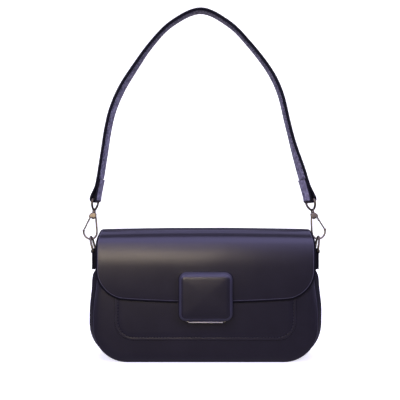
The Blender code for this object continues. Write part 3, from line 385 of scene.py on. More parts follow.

# %% [markdown]
# The leather is smooth box calf, dyed a navy so dark that it reads black, with a violet sheen
# where it faces the light. One plain colour would look like plastic: the pores, the drifting tone
# and a painted highlight along the edges are what make it leather. On the clasp's bevel and along
# the cut rims it is duller, and painted paler as a highlight for the light they catch. The strap's
# inner face is an unglazed lining leather, mottled by wear, and painted paler still for the bright
# table below that it would mirror.

# %% Leather materials
GRAIN_DEPTH = 0.12 * MM
GLAZE_SWING = 0.008


def group_node(tree, group, values):
    return add_node(tree, "ShaderNodeGroup", values, node_tree=group).outputs


def add_bump(tree, shader, height, distance, strength):
    bump = add_node(tree, "ShaderNodeBump", {"Height": height, "Distance": distance, "Strength": strength})
    tree.links.new(bump.outputs["Normal"], shader.inputs["Normal"])


def leather(name, colour, worn, roughness, pores=700.0, creases=0.3, bump=0.03, edge_light_colour=None, tone=45.0,
            extras=None):
    """A leather with pores and drifting tone, and a painted highlight where an edge turns outwards."""
    material, shader = plain_material(name, colour, roughness, extras=extras)
    tree = material.node_tree
    grain = group_node(tree, leather_grain, {
        "Colour": (*colour, 1), "Worn Colour": (*worn, 1), "Pores per Metre": pores, "Tone per Metre": tone,
        "Crease Share": creases, "Roughness": roughness, "Roughness Swing": GLAZE_SWING})
    tint = grain["Colour"]
    if edge_light_colour is not None:
        mask = group_node(tree, edge_highlight_and_recess, {})["Mask"]
        tint = mix_colour(tree, mask, tint, (*edge_light_colour, 1))
    tree.links.new(tint, shader.inputs["Base Color"])
    tree.links.new(grain["Roughness"], shader.inputs["Roughness"])
    add_bump(tree, shader, grain["Height"], GRAIN_DEPTH, bump)
    return material


CALF = (0.0155, 0.0138, 0.0175)
CALF_DRIFT = (0.0172, 0.0153, 0.0196)
CALF_GLAZE = 0.26
VIOLET_SHEEN = {"Sheen Weight": 0.02, "Sheen Tint": (0.5, 0.45, 1.0, 1)}
calf = leather("navy_calf", CALF, CALF_DRIFT, CALF_GLAZE, bump=0.012, edge_light_colour=(0.11, 0.105, 0.17),
               extras=VIOLET_SHEEN)
flesh = leather("leather_back", (0.03, 0.027, 0.034), (0.05, 0.046, 0.055), 0.85, creases=0.8, bump=0.6)
# Pale lining leather, painted paler still for the bright table it would mirror.
strap_inner = leather("strap_inner_calf", (0.16, 0.15, 0.21), (0.60, 0.585, 0.73), 0.5, pores=600.0,
                      creases=0.6, bump=0.4, tone=260.0)
# Near black and low in gloss; on the flap's wide pared edge it is a painted shadow under the hem.
edge_paint = leather("edge_paint", (0.004, 0.0036, 0.006), (0.006, 0.0055, 0.009), 0.55, pores=500.0,
                     creases=0.6, bump=0.3, extras={"Specular IOR Level": 0.2})
pad_calf = leather("pad_calf", CALF, CALF_DRIFT, CALF_GLAZE, edge_light_colour=(0.09, 0.085, 0.15))
# Paler, duller calf for the clasp's bevel: a painted highlight.
bevel_highlight_calf = leather("bevel_highlight_calf", (0.032, 0.031, 0.042), (0.042, 0.041, 0.058), 0.36)
# Paler calf for the rim where a cut edge starts: a painted highlight.
highlight_rim_calf = leather("highlight_rim_calf", (0.058, 0.056, 0.070), (0.080, 0.077, 0.095), 0.34)
print("leathers:", [material.name for material in bpy.data.materials if material.name != "paper_white"])

# %% [markdown]
# The thread is waxed, the lining is a plain dark weave and the board in the base is grey pulp.
# Thread and board are both bundles of fibres, fine or coarse, so one function makes them: a colour
# that drifts from dark to light, and a bump in the same places.

# %% Thread, cloth and board materials
FIBRE_DEPTH = 0.15 * MM
PULP_DEPTH = 0.2 * MM
WEAVE_DEPTH = 0.2 * MM


def fibrous(name, dark, light, roughness, scale, detail, depth, bump, **more):
    """A material of fibres, darker between them than on them."""
    material, shader = plain_material(name, dark, roughness)
    tree = material.node_tree
    fibres = cloudy(tree, object_places(tree), scale, detail, **more)
    tree.links.new(mix_colour(tree, fibres, (*dark, 1), (*light, 1)), shader.inputs["Base Color"])
    add_bump(tree, shader, fibres, depth, bump)
    return material


thread = fibrous("waxed_thread", (0.006, 0.0055, 0.009), (0.014, 0.013, 0.02), 0.5, 2600.0, 2.0,
                 FIBRE_DEPTH, 0.6)
WEAVE = (0.075, 0.066, 0.09)
cloth, cloth_shader = plain_material("lining_weave", WEAVE, 0.9, extras={"Sheen Weight": 0.2})
cloth_tree = cloth.node_tree
weave = group_node(cloth_tree, plain_weave, {"Colour": (*WEAVE, 1), "Gap Colour": (0.02, 0.018, 0.026, 1)})
cloth_tree.links.new(weave["Colour"], cloth_shader.inputs["Base Color"])
add_bump(cloth_tree, cloth_shader, weave["Height"], WEAVE_DEPTH, 0.5)
board = fibrous("grey_board", (0.07, 0.063, 0.056), (0.14, 0.128, 0.112), 0.85, 350.0, 8.0, PULP_DEPTH, 0.5,
                Roughness=0.7)
print("made:", thread.name, cloth.name, board.name)

# %% [markdown]
# The hardware is cast zinc with a pale gold plating, softly polished, so it shows the bright studio
# and the dark room as light and dark. Plain metal would be too clean: faint wiping marks change its
# roughness, and recesses are a little browner. The clasp's plate, the magnets and the springs are
# other metals, and one function makes them all.

# %% Metal materials
WIPING_DEPTH = 0.05 * MM


def plated(name, colour, clouded, roughness, swing=0.08, marks=900.0, dull=None):
    """A plated metal with wiping marks, and duller in its recesses where a colour is given."""
    material, shader = plain_material(name, colour, roughness, 1.0)
    tree = material.node_tree
    wiped = group_node(tree, metal_marks, {
        "Colour": (*colour, 1), "Clouded Colour": (*clouded, 1), "Marks per Metre": marks,
        "Roughness": roughness, "Roughness Swing": swing})
    tint = wiped["Colour"]
    if dull is not None:
        mask = group_node(tree, edge_highlight_and_recess, {"Start": 0.5, "Full": 0.4, "Patchiness": 0.2})["Mask"]
        tint = mix_colour(tree, mask, tint, (*dull, 1))
    tree.links.new(tint, shader.inputs["Base Color"])
    tree.links.new(wiped["Roughness"], shader.inputs["Roughness"])
    add_bump(tree, shader, wiped["Height"], WIPING_DEPTH, 0.05)
    return material


gold = plated("pale_gold_plate", (0.29, 0.25, 0.175), (0.20, 0.165, 0.11), 0.30, dull=(0.11, 0.085, 0.05))
bright_plate = plated("bright_plate", (0.80, 0.79, 0.77), (0.66, 0.65, 0.64), 0.34)
magnet_plate = plated("magnet_plate", (0.42, 0.42, 0.44), (0.35, 0.35, 0.37), 0.3, swing=0.15)
spring_plate = plated("spring_steel_strip", (0.50, 0.50, 0.52), (0.40, 0.40, 0.44), 0.24, swing=0.2,
                      marks=1500.0)
print("materials:", len(bpy.data.materials))

# %% [markdown]
# Leather is cut flat and then bent, and the pieces here are made the same way. A plate with a
# bevel would do for flat ones, but not for the flap. So each piece starts as a flat pattern: its
# outline, rings just inside it that round its edge, and a net of points between. These helpers
# measure an outline, move it inwards and lay the net.

# %% Pattern helpers
FIT_GAP = 0.3 * MM
NET_MARGIN_SHARE = 0.55


def area_of(outline):
    return sum(a[0] * b[1] - b[0] * a[1] for a, b in zip(outline, outline[1:] + outline[:1])) / 2


def moved_in(outline, distance):
    """The outline moved inwards by a distance. It runs anticlockwise."""
    points = [Vector(p) for p in outline]
    inner = []
    for before, here, after in zip(points[-1:] + points[:-1], points, points[1:] + points[:1]):
        one, two = (here - before).normalized(), (after - here).normalized()
        first, second = Vector((-one.y, one.x)), Vector((-two.y, two.x))
        inner.append(here + (first + second) / (1 + first.dot(second)) * distance)
    return inner


def is_inside(u, v, outline):
    inside = False
    for a, b in zip(outline, outline[1:] + outline[:1]):
        if (a[1] > v) != (b[1] > v) and u < (b[0] - a[0]) * (v - a[1]) / (b[1] - a[1]) + a[0]:
            inside = not inside
    return inside


def clear_of(u, v, outline, margin):
    here = Vector((u, v))
    for a, b in zip(outline, outline[1:] + outline[:1]):
        near, share = intersect_point_line(here, a, b)
        spot = a if share < 0 else b if share > 1 else near
        if (here - Vector(spot[:2])).length < margin:
            return False
    return True


def net_points(outline, spacing):
    """Places of an even net that lie well inside an outline."""
    low = [min(p[k] for p in outline) for k in (0, 1)]
    high = [max(p[k] for p in outline) for k in (0, 1)]
    counts = [max(round((high[k] - low[k]) / spacing[k]), 1) for k in (0, 1)]
    margin = min(spacing) * NET_MARGIN_SHARE
    places = []
    for i in range(1, counts[0]):
        for j in range(1, counts[1]):
            u = low[0] + (high[0] - low[0]) * i / counts[0]
            v = low[1] + (high[1] - low[1]) * j / counts[1]
            if is_inside(u, v, outline) and clear_of(u, v, outline, margin):
                places.append(Vector((u, v)))
    return places


# %% [markdown]
# A cut edge of leather is a little round. It could be a bevel of the whole piece, but a bevel goes
# wrong where the leather bends, so the rounding is part of the pattern. A bend function gives
# every place of the pattern its place on the bag, with the way that it faces there. Where a seam
# lies in a groove, three lines of points run along it side by side, and the middle one is pressed
# in.

# %% Cutting leather
EDGE_ROUNDING = 0.55 * MM
RING_MARGIN = 0.55 * MM
GROOVE_HALF = 0.45 * MM
GROOVE_DEPTH = 0.12 * MM
SAME_PLACE = 0.001 * MM
NET_SPACING = (5 * MM, 5 * MM)
# Across the rounded edge: share of the rounding moved in, and share gone down
ROUND_SHARES = ((1.0, 0.0), (0.8, 0.02), (0.5, 0.134), (0.134, 0.5), (0.0, 1.0))
# The order of a piece's materials
FACE, BACK, EDGE, HIGHLIGHT_RIM = range(4)


def cut_leather(name, outline, bend, thickness, materials, rounding=EDGE_ROUNDING, spacing=NET_SPACING,
                groove=None, edge_depth=None, highlight_rim_rows=2):
    """Cut a flat pattern, round its edge and bend it. Bend gives a place and a facing.

    A groove is pressed into the face at a distance inside the outline, for a seam to lie in, and
    its faces take the edge's dark paint as painted shade. The materials are those of the face, the
    back and the edge, and of the rim where the edge starts, paler as a painted highlight.
    With an edge depth the edge is pared away on the face's side alone.
    """
    if area_of(outline) < 0:
        outline = outline[::-1]
    count = len(outline)
    front_depth = edge_depth or rounding
    back = thickness - edge_depth if edge_depth else rounding
    levels = [(moved_in(outline, rounding * i), front_depth * d) for i, d in ROUND_SHARES]
    levels += [(moved_in(outline, back * i), thickness - back * d) for i, d in reversed(ROUND_SHARES[:-1])]
    highlight_rim = min(HIGHLIGHT_RIM, len(materials) - 1)
    margin_ring = moved_in(outline, rounding + RING_MARGIN)
    edges = [(k, (k + 1) % count) for k in range(count)]
    net = levels[0][0] + margin_ring
    if groove:
        inner_ring = margin_ring
        for way in (-1, 0, 1):
            inner_ring = moved_in(outline, groove + way * GROOVE_HALF)
            edges += [(len(net) + k, len(net) + (k + 1) % count) for k in range(count)]
            net += inner_ring
        net += net_points(moved_in(inner_ring, GROOVE_HALF), spacing)
    else:
        net += net_points(margin_ring, spacing)
    sunk = range(3 * count, 4 * count) if groove else ()
    places, _, faces, sources, _, _ = delaunay_2d_cdt(net, edges, [list(range(count))], 1, SAME_PLACE)

    bm = bmesh.new()

    def bent(spot, depth):
        place, facing = bend(spot[0], spot[1])
        return bm.verts.new(place - facing * depth)

    rings = [[bent(spot, depth) for spot in ring] for ring, depth in levels]
    for row, (above, below) in enumerate(zip(rings, rings[1:])):
        for k in range(count):
            n = (k + 1) % count
            face = bm.faces.new((above[k], below[k], below[n], above[n]))
            face.material_index = highlight_rim if row < highlight_rim_rows else EDGE
    for ring, depth, turn, finish in ((rings[0], 0, 1, FACE), (rings[-1], thickness, -1, BACK)):
        spots, low_spots = [], set()
        for spot, source in zip(places, sources):
            on_ring = [k for k in source if k < count]
            low = GROOVE_DEPTH if finish == FACE and any(k in sunk for k in source) else 0
            if low:
                low_spots.add(len(spots))
            spots.append(ring[on_ring[0]] if on_ring else bent(spot, depth + low))
        for face in faces:
            # Faces in the groove take the dark edge paint: painted shade.
            shaded_groove = any(k in low_spots for k in face)
            bm.faces.new([spots[k] for k in face][::turn]).material_index = EDGE if shaded_groove else finish
    return piece_from(name, bm, *materials)


# %% [markdown]
# Each finished piece is told which body of the bag it moves with and which solids of the imported
# model it stands for. That could be written out for each of them, but one function says it the same
# way for all. Beside it is the soft start and stop that the swells and fades of the leather share.

# %% Riding and easing
def ride(obj, body, slot, *nodes):
    """Say what a piece moves with and which nodes it stands for; the slot for its finish is not used."""
    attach(obj, body)
    if nodes:
        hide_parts(*nodes)
    print(obj.name, "rides on", body, "with", len(obj.data.vertices), "points")
    return obj


def ease(share):
    """From 0 to 1 with no corner at either end."""
    share = min(max(share, 0), 1)
    return share * share * (3 - 2 * share)


# %% [markdown]
# Seams are sewn with a thick waxed thread, sunk a little into the leather. A texture of dashes
# would lie flat in the light, so each stitch is a small bead of thread that dips at both ends. They
# are all in one mesh for each seam.

# %% Stitch helper
STITCH_PITCH = 3.3 * MM
STITCH_SHARE = 0.8
THREAD_RADIUS = 0.32 * MM
STITCH_SIDES = 6
# Along a stitch: the share of its half length, then its size and rise as shares of the thread's radius
STITCH_SHAPE_SHARES = (
    (-1, 0.35, -0.9), (-0.8, 0.85, -0.1), (-0.3, 1, 0.35), (0.3, 1, 0.35), (0.8, 0.85, -0.1), (1, 0.35, -0.9),
)


def along_line(points, pitch):
    """Places and directions at an even pitch along a line of points."""
    places, left = [], pitch / 2
    for a, b in zip(points, points[1:]):
        length = (b - a).length
        while left <= length:
            places.append((a + (b - a) * left / length, (b - a).normalized()))
            left += pitch
        left -= length
    return places


def stitches(name, seams):
    """Stitches along seams. Each seam is a line of (place, facing) pairs on the leather."""
    bm = bmesh.new()
    turns = [2 * pi * k / STITCH_SIDES for k in range(STITCH_SIDES)]
    for seam in seams:
        line = [place for place, _ in seam]
        for place, run in along_line(line, STITCH_PITCH):
            near = min(range(len(line)), key=lambda k: (line[k] - place).length_squared)
            up = seam[near][1]
            up = (up - run * up.dot(run)).normalized()
            across = run.cross(up)
            rings = []
            for share, size, rise in STITCH_SHAPE_SHARES:
                middle = place + run * share * STITCH_PITCH * STITCH_SHARE / 2 + up * rise * THREAD_RADIUS
                radius = size * THREAD_RADIUS
                rings.append([bm.verts.new(middle + (across * cos(a) + up * sin(a)) * radius) for a in turns])
            for one, two in zip(rings, rings[1:]):
                bridge(bm, one, two, closed=True)
            bm.faces.new(rings[0][::-1])
            bm.faces.new(rings[-1])
    return piece_from(name, bm, thread)


# %% [markdown]
# The body is two stiff panels with a band between them that swells out at the sides. Five flat
# plates would look like a box. Here a panel is a pattern whose outline runs from its top edge down
# round the lower corners, and it is filled out a little in its lower half and drawn in where it is
# sewn to the band.

# %% Body outline
BODY_WIDTH = 242 * MM
BODY_TOP_WIDTH = 233 * MM
CORNER_RADIUS = 37 * MM
WIDEST_UP_TO = 50 * MM
NARROW_FROM = 100 * MM
FRONT_HEIGHT = 133 * MM
BACK_HEIGHT = 131.2 * MM
PANEL_OUT = 35 * MM
PANEL_THICKNESS = 2.4 * MM
PANEL_IN = PANEL_OUT - PANEL_THICKNESS
PANEL_SWELL = 0.5 * MM
SWELL_HEIGHT = 62 * MM
EDGE_PULL = 1.1 * MM
EDGE_PULL_WIDTH = 3.6 * MM


def half_width(z):
    """Half the body's width at a height above its lower corners."""
    narrowing = ease((z - WIDEST_UP_TO) / (NARROW_FROM - WIDEST_UP_TO))
    return (BODY_WIDTH - (BODY_WIDTH - BODY_TOP_WIDTH) * narrowing) / 2


def body_side(top, inset=0, foot=0, steps=16):
    """The right half of the body's outline, from its top edge down to the base."""
    corner = CORNER_RADIUS - inset
    centre = (BODY_WIDTH / 2 - CORNER_RADIUS, foot + corner)
    heights = [top + (centre[1] - top) * k / steps for k in range(steps)]
    side = [(half_width(z) - inset, z) for z in heights]
    return side + arc(centre, corner, 0, -pi / 2, steps)


def edge_distance(x, z):
    """How far a place on a panel is from its outline, at the sides and the base."""
    if z >= CORNER_RADIUS:
        return half_width(z) - abs(x)
    sideways = abs(x) - (BODY_WIDTH / 2 - CORNER_RADIUS)
    if sideways <= 0:
        return z
    return CORNER_RADIUS - Vector((sideways, CORNER_RADIUS - z)).length


def panel_swell(x, z):
    """How far a panel stands out: fullest low down, drawn in along its sewn edge."""
    across = 1 - (2 * x / BODY_WIDTH) ** 2
    low = ease(z / SWELL_HEIGHT) if z < SWELL_HEIGHT else 1 - ease((z - SWELL_HEIGHT) / SWELL_HEIGHT)
    pull = EDGE_PULL * (1 - ease(edge_distance(x, z) / EDGE_PULL_WIDTH))
    return PANEL_SWELL * max(across, 0) * low - pull


def body_outline(top):
    """The panel's outline, anticlockwise from the middle of its base."""
    right = body_side(top)[::-1]
    return [(0, 0), *right, *[(-x, z) for x, z in reversed(right)]]


def front_bend(x, z):
    return Vector((x, -PANEL_OUT - panel_swell(x, z), z)), Vector((0, -1, 0))


def back_bend(x, z):
    return Vector((x, PANEL_OUT + panel_swell(x, z), z)), Vector((0, 1, 0))


print("body outline:", len(body_outline(FRONT_HEIGHT)), "places")

# %% [markdown]
# Both panels have a cut edge that is painted dark, and where it starts a rim painted paler, as a
# highlight for the light the rounded edge catches. They could be drawn one by one, but they are
# the same pattern at two heights, so one loop cuts them.

# %% Panels
PANEL_ROUNDING = 1.0 * MM
leather_finish = [calf, flesh, edge_paint]
highlight_rim_finish = [*leather_finish, highlight_rim_calf]
for name, top, bend in (("front", FRONT_HEIGHT, front_bend), ("back", BACK_HEIGHT, back_bend)):
    panel = cut_leather(f"{name}_panel_leather", body_outline(top), bend, PANEL_THICKNESS, highlight_rim_finish,
                        PANEL_ROUNDING)
    ride(panel, "bag", "body_leather", f"{name}_panel")

# %% [markdown]
# The band between the panels is soft enough to swell at the sides. It could be lofted from a few
# sections, but then it would swell as evenly as a balloon. It is cut as one long strip instead and
# wrapped round the panels' outline, with a shallow bow across it, and slow noise makes the bow
# uneven, like leather that has been bent. Below the tabs it is fullest, and behind them held flat.

# %% Gusset
GUSSET_HEIGHT = 131 * MM
GUSSET_THICKNESS = 2.2 * MM
GUSSET_BULGE = 9 * MM
PANEL_PROUD = 0.3 * MM
BULGE_CURVE = 1.6
# Height, and the share of the bulge there
BULGE_SHARES = (
    (37 * MM, 1.0), (60 * MM, 1.0), (74 * MM, 1.0), (86 * MM, 1.06), (91 * MM, 1.03), (97.5 * MM, 0.70),
    (105 * MM, 0.62), (112 * MM, 0.40), (120 * MM, 0.15), (125 * MM, 0.0),
)
GUSSET_WAVES_PER_METRE = 28
GUSSET_WAVE = 0.7 * MM
GUSSET_FULL_WAVE_BOW = 3 * MM
GUSSET_NET = (3 * MM, 5 * MM)
FACING_STEP = 0.2 * MM


def bulge_share(x, z):
    """How far the band swells at a place on the outline, as a share of its most."""
    if z < CORNER_RADIUS:
        sideways = max(x - (BODY_WIDTH / 2 - CORNER_RADIUS), 0) / CORNER_RADIUS
        return sideways**BULGE_CURVE
    for (low, one), (high, two) in zip(BULGE_SHARES, BULGE_SHARES[1:]):
        if z <= high:
            return one + (two - one) * ease((z - low) / (high - low))
    return BULGE_SHARES[-1][1]


def band_path(top, inset=0, foot=0, base_steps=10):
    """The line that a band follows round the body: right side, base and left side."""
    right = body_side(top, inset, foot)
    base_end, base_z = right[-1]
    base = [(base_end * (1 - 2 * k / base_steps), base_z) for k in range(1, base_steps)]
    return right + base + [(-x, z) for x, z in reversed(right)]


def length_marks(path):
    """The distance along a path at each of its places."""
    marks = [0.0]
    for a, b in zip(path, path[1:]):
        marks.append(marks[-1] + (Vector(b) - Vector(a)).length)
    return marks


def place_along(path, marks, distance):
    """The place at a distance along a path."""
    k = min(max(bisect(marks, distance), 1), len(marks) - 1)
    share = (distance - marks[k - 1]) / (marks[k] - marks[k - 1])
    return Vector(path[k - 1]).lerp(Vector(path[k]), share)


gusset_path = band_path(GUSSET_HEIGHT, PANEL_PROUD, PANEL_PROUD)
gusset_marks = length_marks(gusset_path)
gusset_reach = PANEL_IN - FIT_GAP


def gusset_spot(u, v):
    x, z = place_along(gusset_path, gusset_marks, u)
    side = -1 if x < 0 else 1
    out_x = max(abs(x) - (BODY_WIDTH / 2 - CORNER_RADIUS), 0)
    away = Vector((side * out_x, 0, min(z - CORNER_RADIUS, 0))).normalized()
    bow = GUSSET_BULGE * bulge_share(abs(x), z)
    wave = noise.noise(Vector((x, v, z)) * GUSSET_WAVES_PER_METRE)
    wave *= GUSSET_WAVE * min(bow / GUSSET_FULL_WAVE_BOW, 1)
    swell = (bow + wave) * (1 - (v / gusset_reach) ** 2)
    return Vector((x, v, z)) + away * swell


def facing_of(spot_at, u, v):
    """The way a bent piece faces at a place, from its places close by."""
    along = spot_at(u + FACING_STEP, v) - spot_at(u - FACING_STEP, v)
    across = spot_at(u, v + FACING_STEP) - spot_at(u, v - FACING_STEP)
    return along.cross(across).normalized()


def gusset_bend(u, v):
    return gusset_spot(u, v), facing_of(gusset_spot, u, v)


def strip_outline(length, half, step, start=0.0):
    """A long rectangle with places along both sides."""
    count = round(length / step)
    low = [(start + length * k / count, -half) for k in range(count + 1)]
    ends = [(start + length, 0)]
    high = [(start + length * k / count, half) for k in range(count, -1, -1)]
    return low + ends + high + [(start, 0)]


outline = strip_outline(gusset_marks[-1], gusset_reach, GUSSET_NET[0])
gusset = cut_leather("gusset_leather", outline, gusset_bend, GUSSET_THICKNESS, leather_finish,
                     spacing=GUSSET_NET)
ride(gusset, "bag", "body_leather", "gusset")
print("gusset:", round(gusset_marks[-1] / MM), "mm long")

# %% [markdown]
# A second layer is sewn on the front, seen below the flap. Its seam is the clearest stitching on
# the bag. A line drawn on the leather would look printed, so the seam is the patch's own outline
# moved inwards: a groove is pressed in along it, painted dark as shade, and the stitches lie in
# the groove.

# %% Front patch
PATCH_WIDTH = 194 * MM
PATCH_FOOT = 24.3 * MM
PATCH_HEAD = 118 * MM
PATCH_RADIUS = 20 * MM
PATCH_THICKNESS = 1.0 * MM
PATCH_OUT = PANEL_OUT + FIT_GAP + PATCH_THICKNESS
PATCH_ROUNDING = 0.45 * MM
SEAM_INSET = 3.2 * MM


def patch_outline(inset=0.0, corner_steps=14, side_steps=14):
    """The patch's outline, anticlockwise from its head on the left."""
    half = PATCH_WIDTH / 2 - inset
    radius = PATCH_RADIUS - inset
    corner = arc((half - radius, PATCH_FOOT + inset + radius), radius, -pi / 2, 0, corner_steps)
    start = corner[-1][1]
    side = [(half, start + (PATCH_HEAD - start) * k / side_steps) for k in range(1, side_steps + 1)]
    right = corner + side
    return [(-x, z) for x, z in reversed(right)] + right


def patch_bend(x, z):
    return Vector((x, -PATCH_OUT - panel_swell(x, z), z)), Vector((0, -1, 0))


patch = cut_leather("front_patch_leather", patch_outline(), patch_bend, PATCH_THICKNESS, highlight_rim_finish,
                    PATCH_ROUNDING, groove=SEAM_INSET, highlight_rim_rows=1)
ride(patch, "bag", "body_leather", "front_patch")
seam = [patch_bend(x, z) for x, z in patch_outline(SEAM_INSET)]
seam = [(place - facing * GROOVE_DEPTH, facing) for place, facing in seam]
ride(stitches("patch_stitches", [seam]), "bag", "body_leather")

# %% [markdown]
# Inside is a cloth lining, sewn to leather strips that face the mouth. It is seen only when the
# flap is up. Cloth in a bag is never taut, so the walls carry slow folds that run down from the
# strips. A cloth simulation was not needed for folds this shallow.

# %% Lining
LINING_THICKNESS = 0.6 * MM
LINING_TOP = 107 * MM
BOARD_THICKNESS = 1.8 * MM
LINING_INSET = PANEL_PROUD + GUSSET_THICKNESS + FIT_GAP
LINING_FOOT = PANEL_PROUD + GUSSET_THICKNESS + BOARD_THICKNESS + 3 * FIT_GAP
LINING_REACH = PANEL_IN - FIT_GAP
LINING_COLUMNS = 36
LINING_BAND_COLUMNS = 8
LINING_FOLD = 1.4 * MM
FOLDS_PER_METRE = 34
FOLD_STRETCH_SHARE = 0.4
FOLD_SHIFT = 3.7              # so that the two walls don't fold alike
FOLD_FADE_TOP = 20 * MM
FOLD_FADE_FOOT = 15 * MM
FOLD_FADE_SIDE = 12 * MM


def spread(columns):
    """Places from -1 to 1 that lie closer together towards both ends."""
    return [sin((2 * k / columns - 1) * pi / 2) for k in range(columns + 1)]


def lining_fold(x, z, side):
    """How far the cloth stands in from its wall: nothing at its sewn edges."""
    share = ease((LINING_TOP - z) / FOLD_FADE_TOP) * ease((z - LINING_FOOT) / FOLD_FADE_FOOT)
    share *= ease((half_width(z) - LINING_INSET - abs(x)) / FOLD_FADE_SIDE)
    place = Vector((x * FOLDS_PER_METRE, side * FOLD_SHIFT, z * FOLDS_PER_METRE * FOLD_STRETCH_SHARE))
    return LINING_FOLD * share * (0.5 + noise.noise(place))


def add_modifier(obj, kind, **settings):
    modifier = obj.modifiers.new(kind.lower(), kind)
    for key, value in settings.items():
        setattr(modifier, key, value)


def settle(obj, sharp=40):
    """Turn an object with its modifiers, or a curve, into a plain mesh."""
    bpy.context.view_layer.update()
    evaluated = obj.evaluated_get(bpy.context.evaluated_depsgraph_get())
    mesh = bpy.data.meshes.new_from_object(evaluated)
    name, place = obj.name, obj.matrix_world.copy()
    materials = [slot.material for slot in obj.material_slots]
    bpy.data.objects.remove(obj, do_unlink=True)
    mesh.name = name
    mesh.transform(place)
    mesh.shade_smooth()
    mesh.set_sharp_from_angle(angle=radians(sharp))
    made = bpy.data.objects.new(name, mesh)
    bpy.context.scene.collection.objects.link(made)
    if not made.data.materials:
        for material in materials:
            made.data.materials.append(material)
    return made


def make_lining():
    """Both walls and the band between them, joined along their edges."""
    bm = bmesh.new()
    sheets = []
    for side in (-1, 1):
        rows = []
        for half, z in body_side(LINING_TOP, LINING_INSET, LINING_FOOT):
            places = [half * share for share in spread(LINING_COLUMNS)]
            rows.append([(x, side * (LINING_REACH - lining_fold(x, z, side)), z) for x in places])
        sheets.append(rows)
    columns = [LINING_REACH * (2 * k / LINING_BAND_COLUMNS - 1) for k in range(LINING_BAND_COLUMNS + 1)]
    sheets.append([[(x, y, z) for y in columns] for x, z in band_path(LINING_TOP, LINING_INSET, LINING_FOOT)])
    for rows in sheets:
        grid = [[bm.verts.new(co) for co in row] for row in rows]
        for above, below in zip(grid, grid[1:]):
            bridge(bm, above, below)
    bmesh.ops.remove_doubles(bm, verts=bm.verts, dist=FIT_GAP / 10)
    lining = piece_from("lining_cloth", bm, cloth)
    add_modifier(lining, "SOLIDIFY", thickness=LINING_THICKNESS, offset=-1)
    return settle(lining)


ride(make_lining(), "bag", "lining_cloth", "lining")

# %% [markdown]
# A strip of leather faces the mouth at the front and at the back, and the lining is sewn to it
# along its lower edge. A perfectly flat strip would look like card, so each has a faint ripple.

# %% Facings
FACING_THICKNESS = 1.2 * MM
FACING_HALF = 111 * MM
FACING_FOOT = LINING_TOP + FIT_GAP
FACING_FACE = PANEL_IN - FIT_GAP - FACING_THICKNESS
FACING_ROUNDING = 0.4 * MM
FACING_PITCH = 4 * MM
FACING_RIPPLE = 0.15 * MM
RIPPLES_PER_METRE = 40
FACING_SEAM_STEPS = 80

for name, head, side in (("front", FRONT_HEIGHT, -1), ("back", BACK_HEIGHT, 1)):

    def facing_bend(x, z, side=side):
        ripple = FACING_RIPPLE * noise.noise(Vector((x * RIPPLES_PER_METRE, side, z * RIPPLES_PER_METRE)))
        return Vector((x, side * (FACING_FACE - abs(ripple)), z)), Vector((0, -side, 0))

    half_height = (head - FACING_FOOT) / 2
    outline = strip_outline(2 * FACING_HALF, half_height, FACING_PITCH, -FACING_HALF)
    outline = [(x, z + FACING_FOOT + half_height) for x, z in outline]
    strip = cut_leather(f"facing_{name}_leather", outline, facing_bend, FACING_THICKNESS, leather_finish,
                        FACING_ROUNDING)
    ride(strip, "bag", "body_leather", f"facing_{name}")
    seam_half = FACING_HALF - SEAM_INSET
    places = [seam_half * (2 * k / FACING_SEAM_STEPS - 1) for k in range(FACING_SEAM_STEPS + 1)]
    seam = [facing_bend(x, FACING_FOOT + SEAM_INSET) for x in places]
    ride(stitches(f"facing_{name}_stitches", [seam]), "bag", "body_leather")

# %% [markdown]
# The flap is one piece of leather. It is sewn to the back, rolls over the top and falls down the
# front, leaning back a little above the front patch. It could be a sheet that is laid over the body
# by hand, but a line in side view, made of straight and round stretches, gives every place of the
# flat pattern its place on the bag. The hem is lower in its middle, and slow noise keeps the
# leather from being perfectly flat.

# %% Flap line
FLAP_WIDTH = 235 * MM
FLAP_TOP_WIDTH = 227.5 * MM
FLAP_THICKNESS = 1.8 * MM
FLAP_LINING_THICKNESS = 0.8 * MM
FLAP_LINING_INSET = 2.5 * MM
FLAP_TOP = 142.6 * MM
FLAP_CROWN = 1.6 * MM
FLAP_FRONT = 40.8 * MM
FLAP_BACK = 37.1 * MM
FLAP_HEM = 69.7 * MM
FLAP_HEM_DIP = 5.6 * MM
FLAP_CORNER = 29.5 * MM
FRONT_ROLL = 15.5 * MM
BACK_ROLL = 12.5 * MM
LEAN_RADIUS = 190 * MM
LEAN = radians(8)
TUCK_RADIUS = 700 * MM        # the drop curves back in towards its hem
TAIL_WIDTH = 216 * MM
TAIL_FOOT = 103 * MM
TAIL_RADIUS = 12 * MM
HINGE_Z = 132 * MM
SHOULDER_HEIGHT = 6 * MM      # over which the tail widens to the flap
HEM_OVERRUN = 1 * MM          # by which the line runs on below the hem
FLAP_SLOPE = 2.6 * MM         # the top is this much lower at the back
FLAP_WAVE = 0.22 * MM
FLAP_WAVES_PER_METRE = 22
FLAP_WAVE_FADE = 20 * MM
FLAP_SIDE_PITCH = 3 * MM
ROLL_STEPS = 24
DROP_STEPS = 16
TAIL_STEPS = 8
MARK_STEPS = 4000


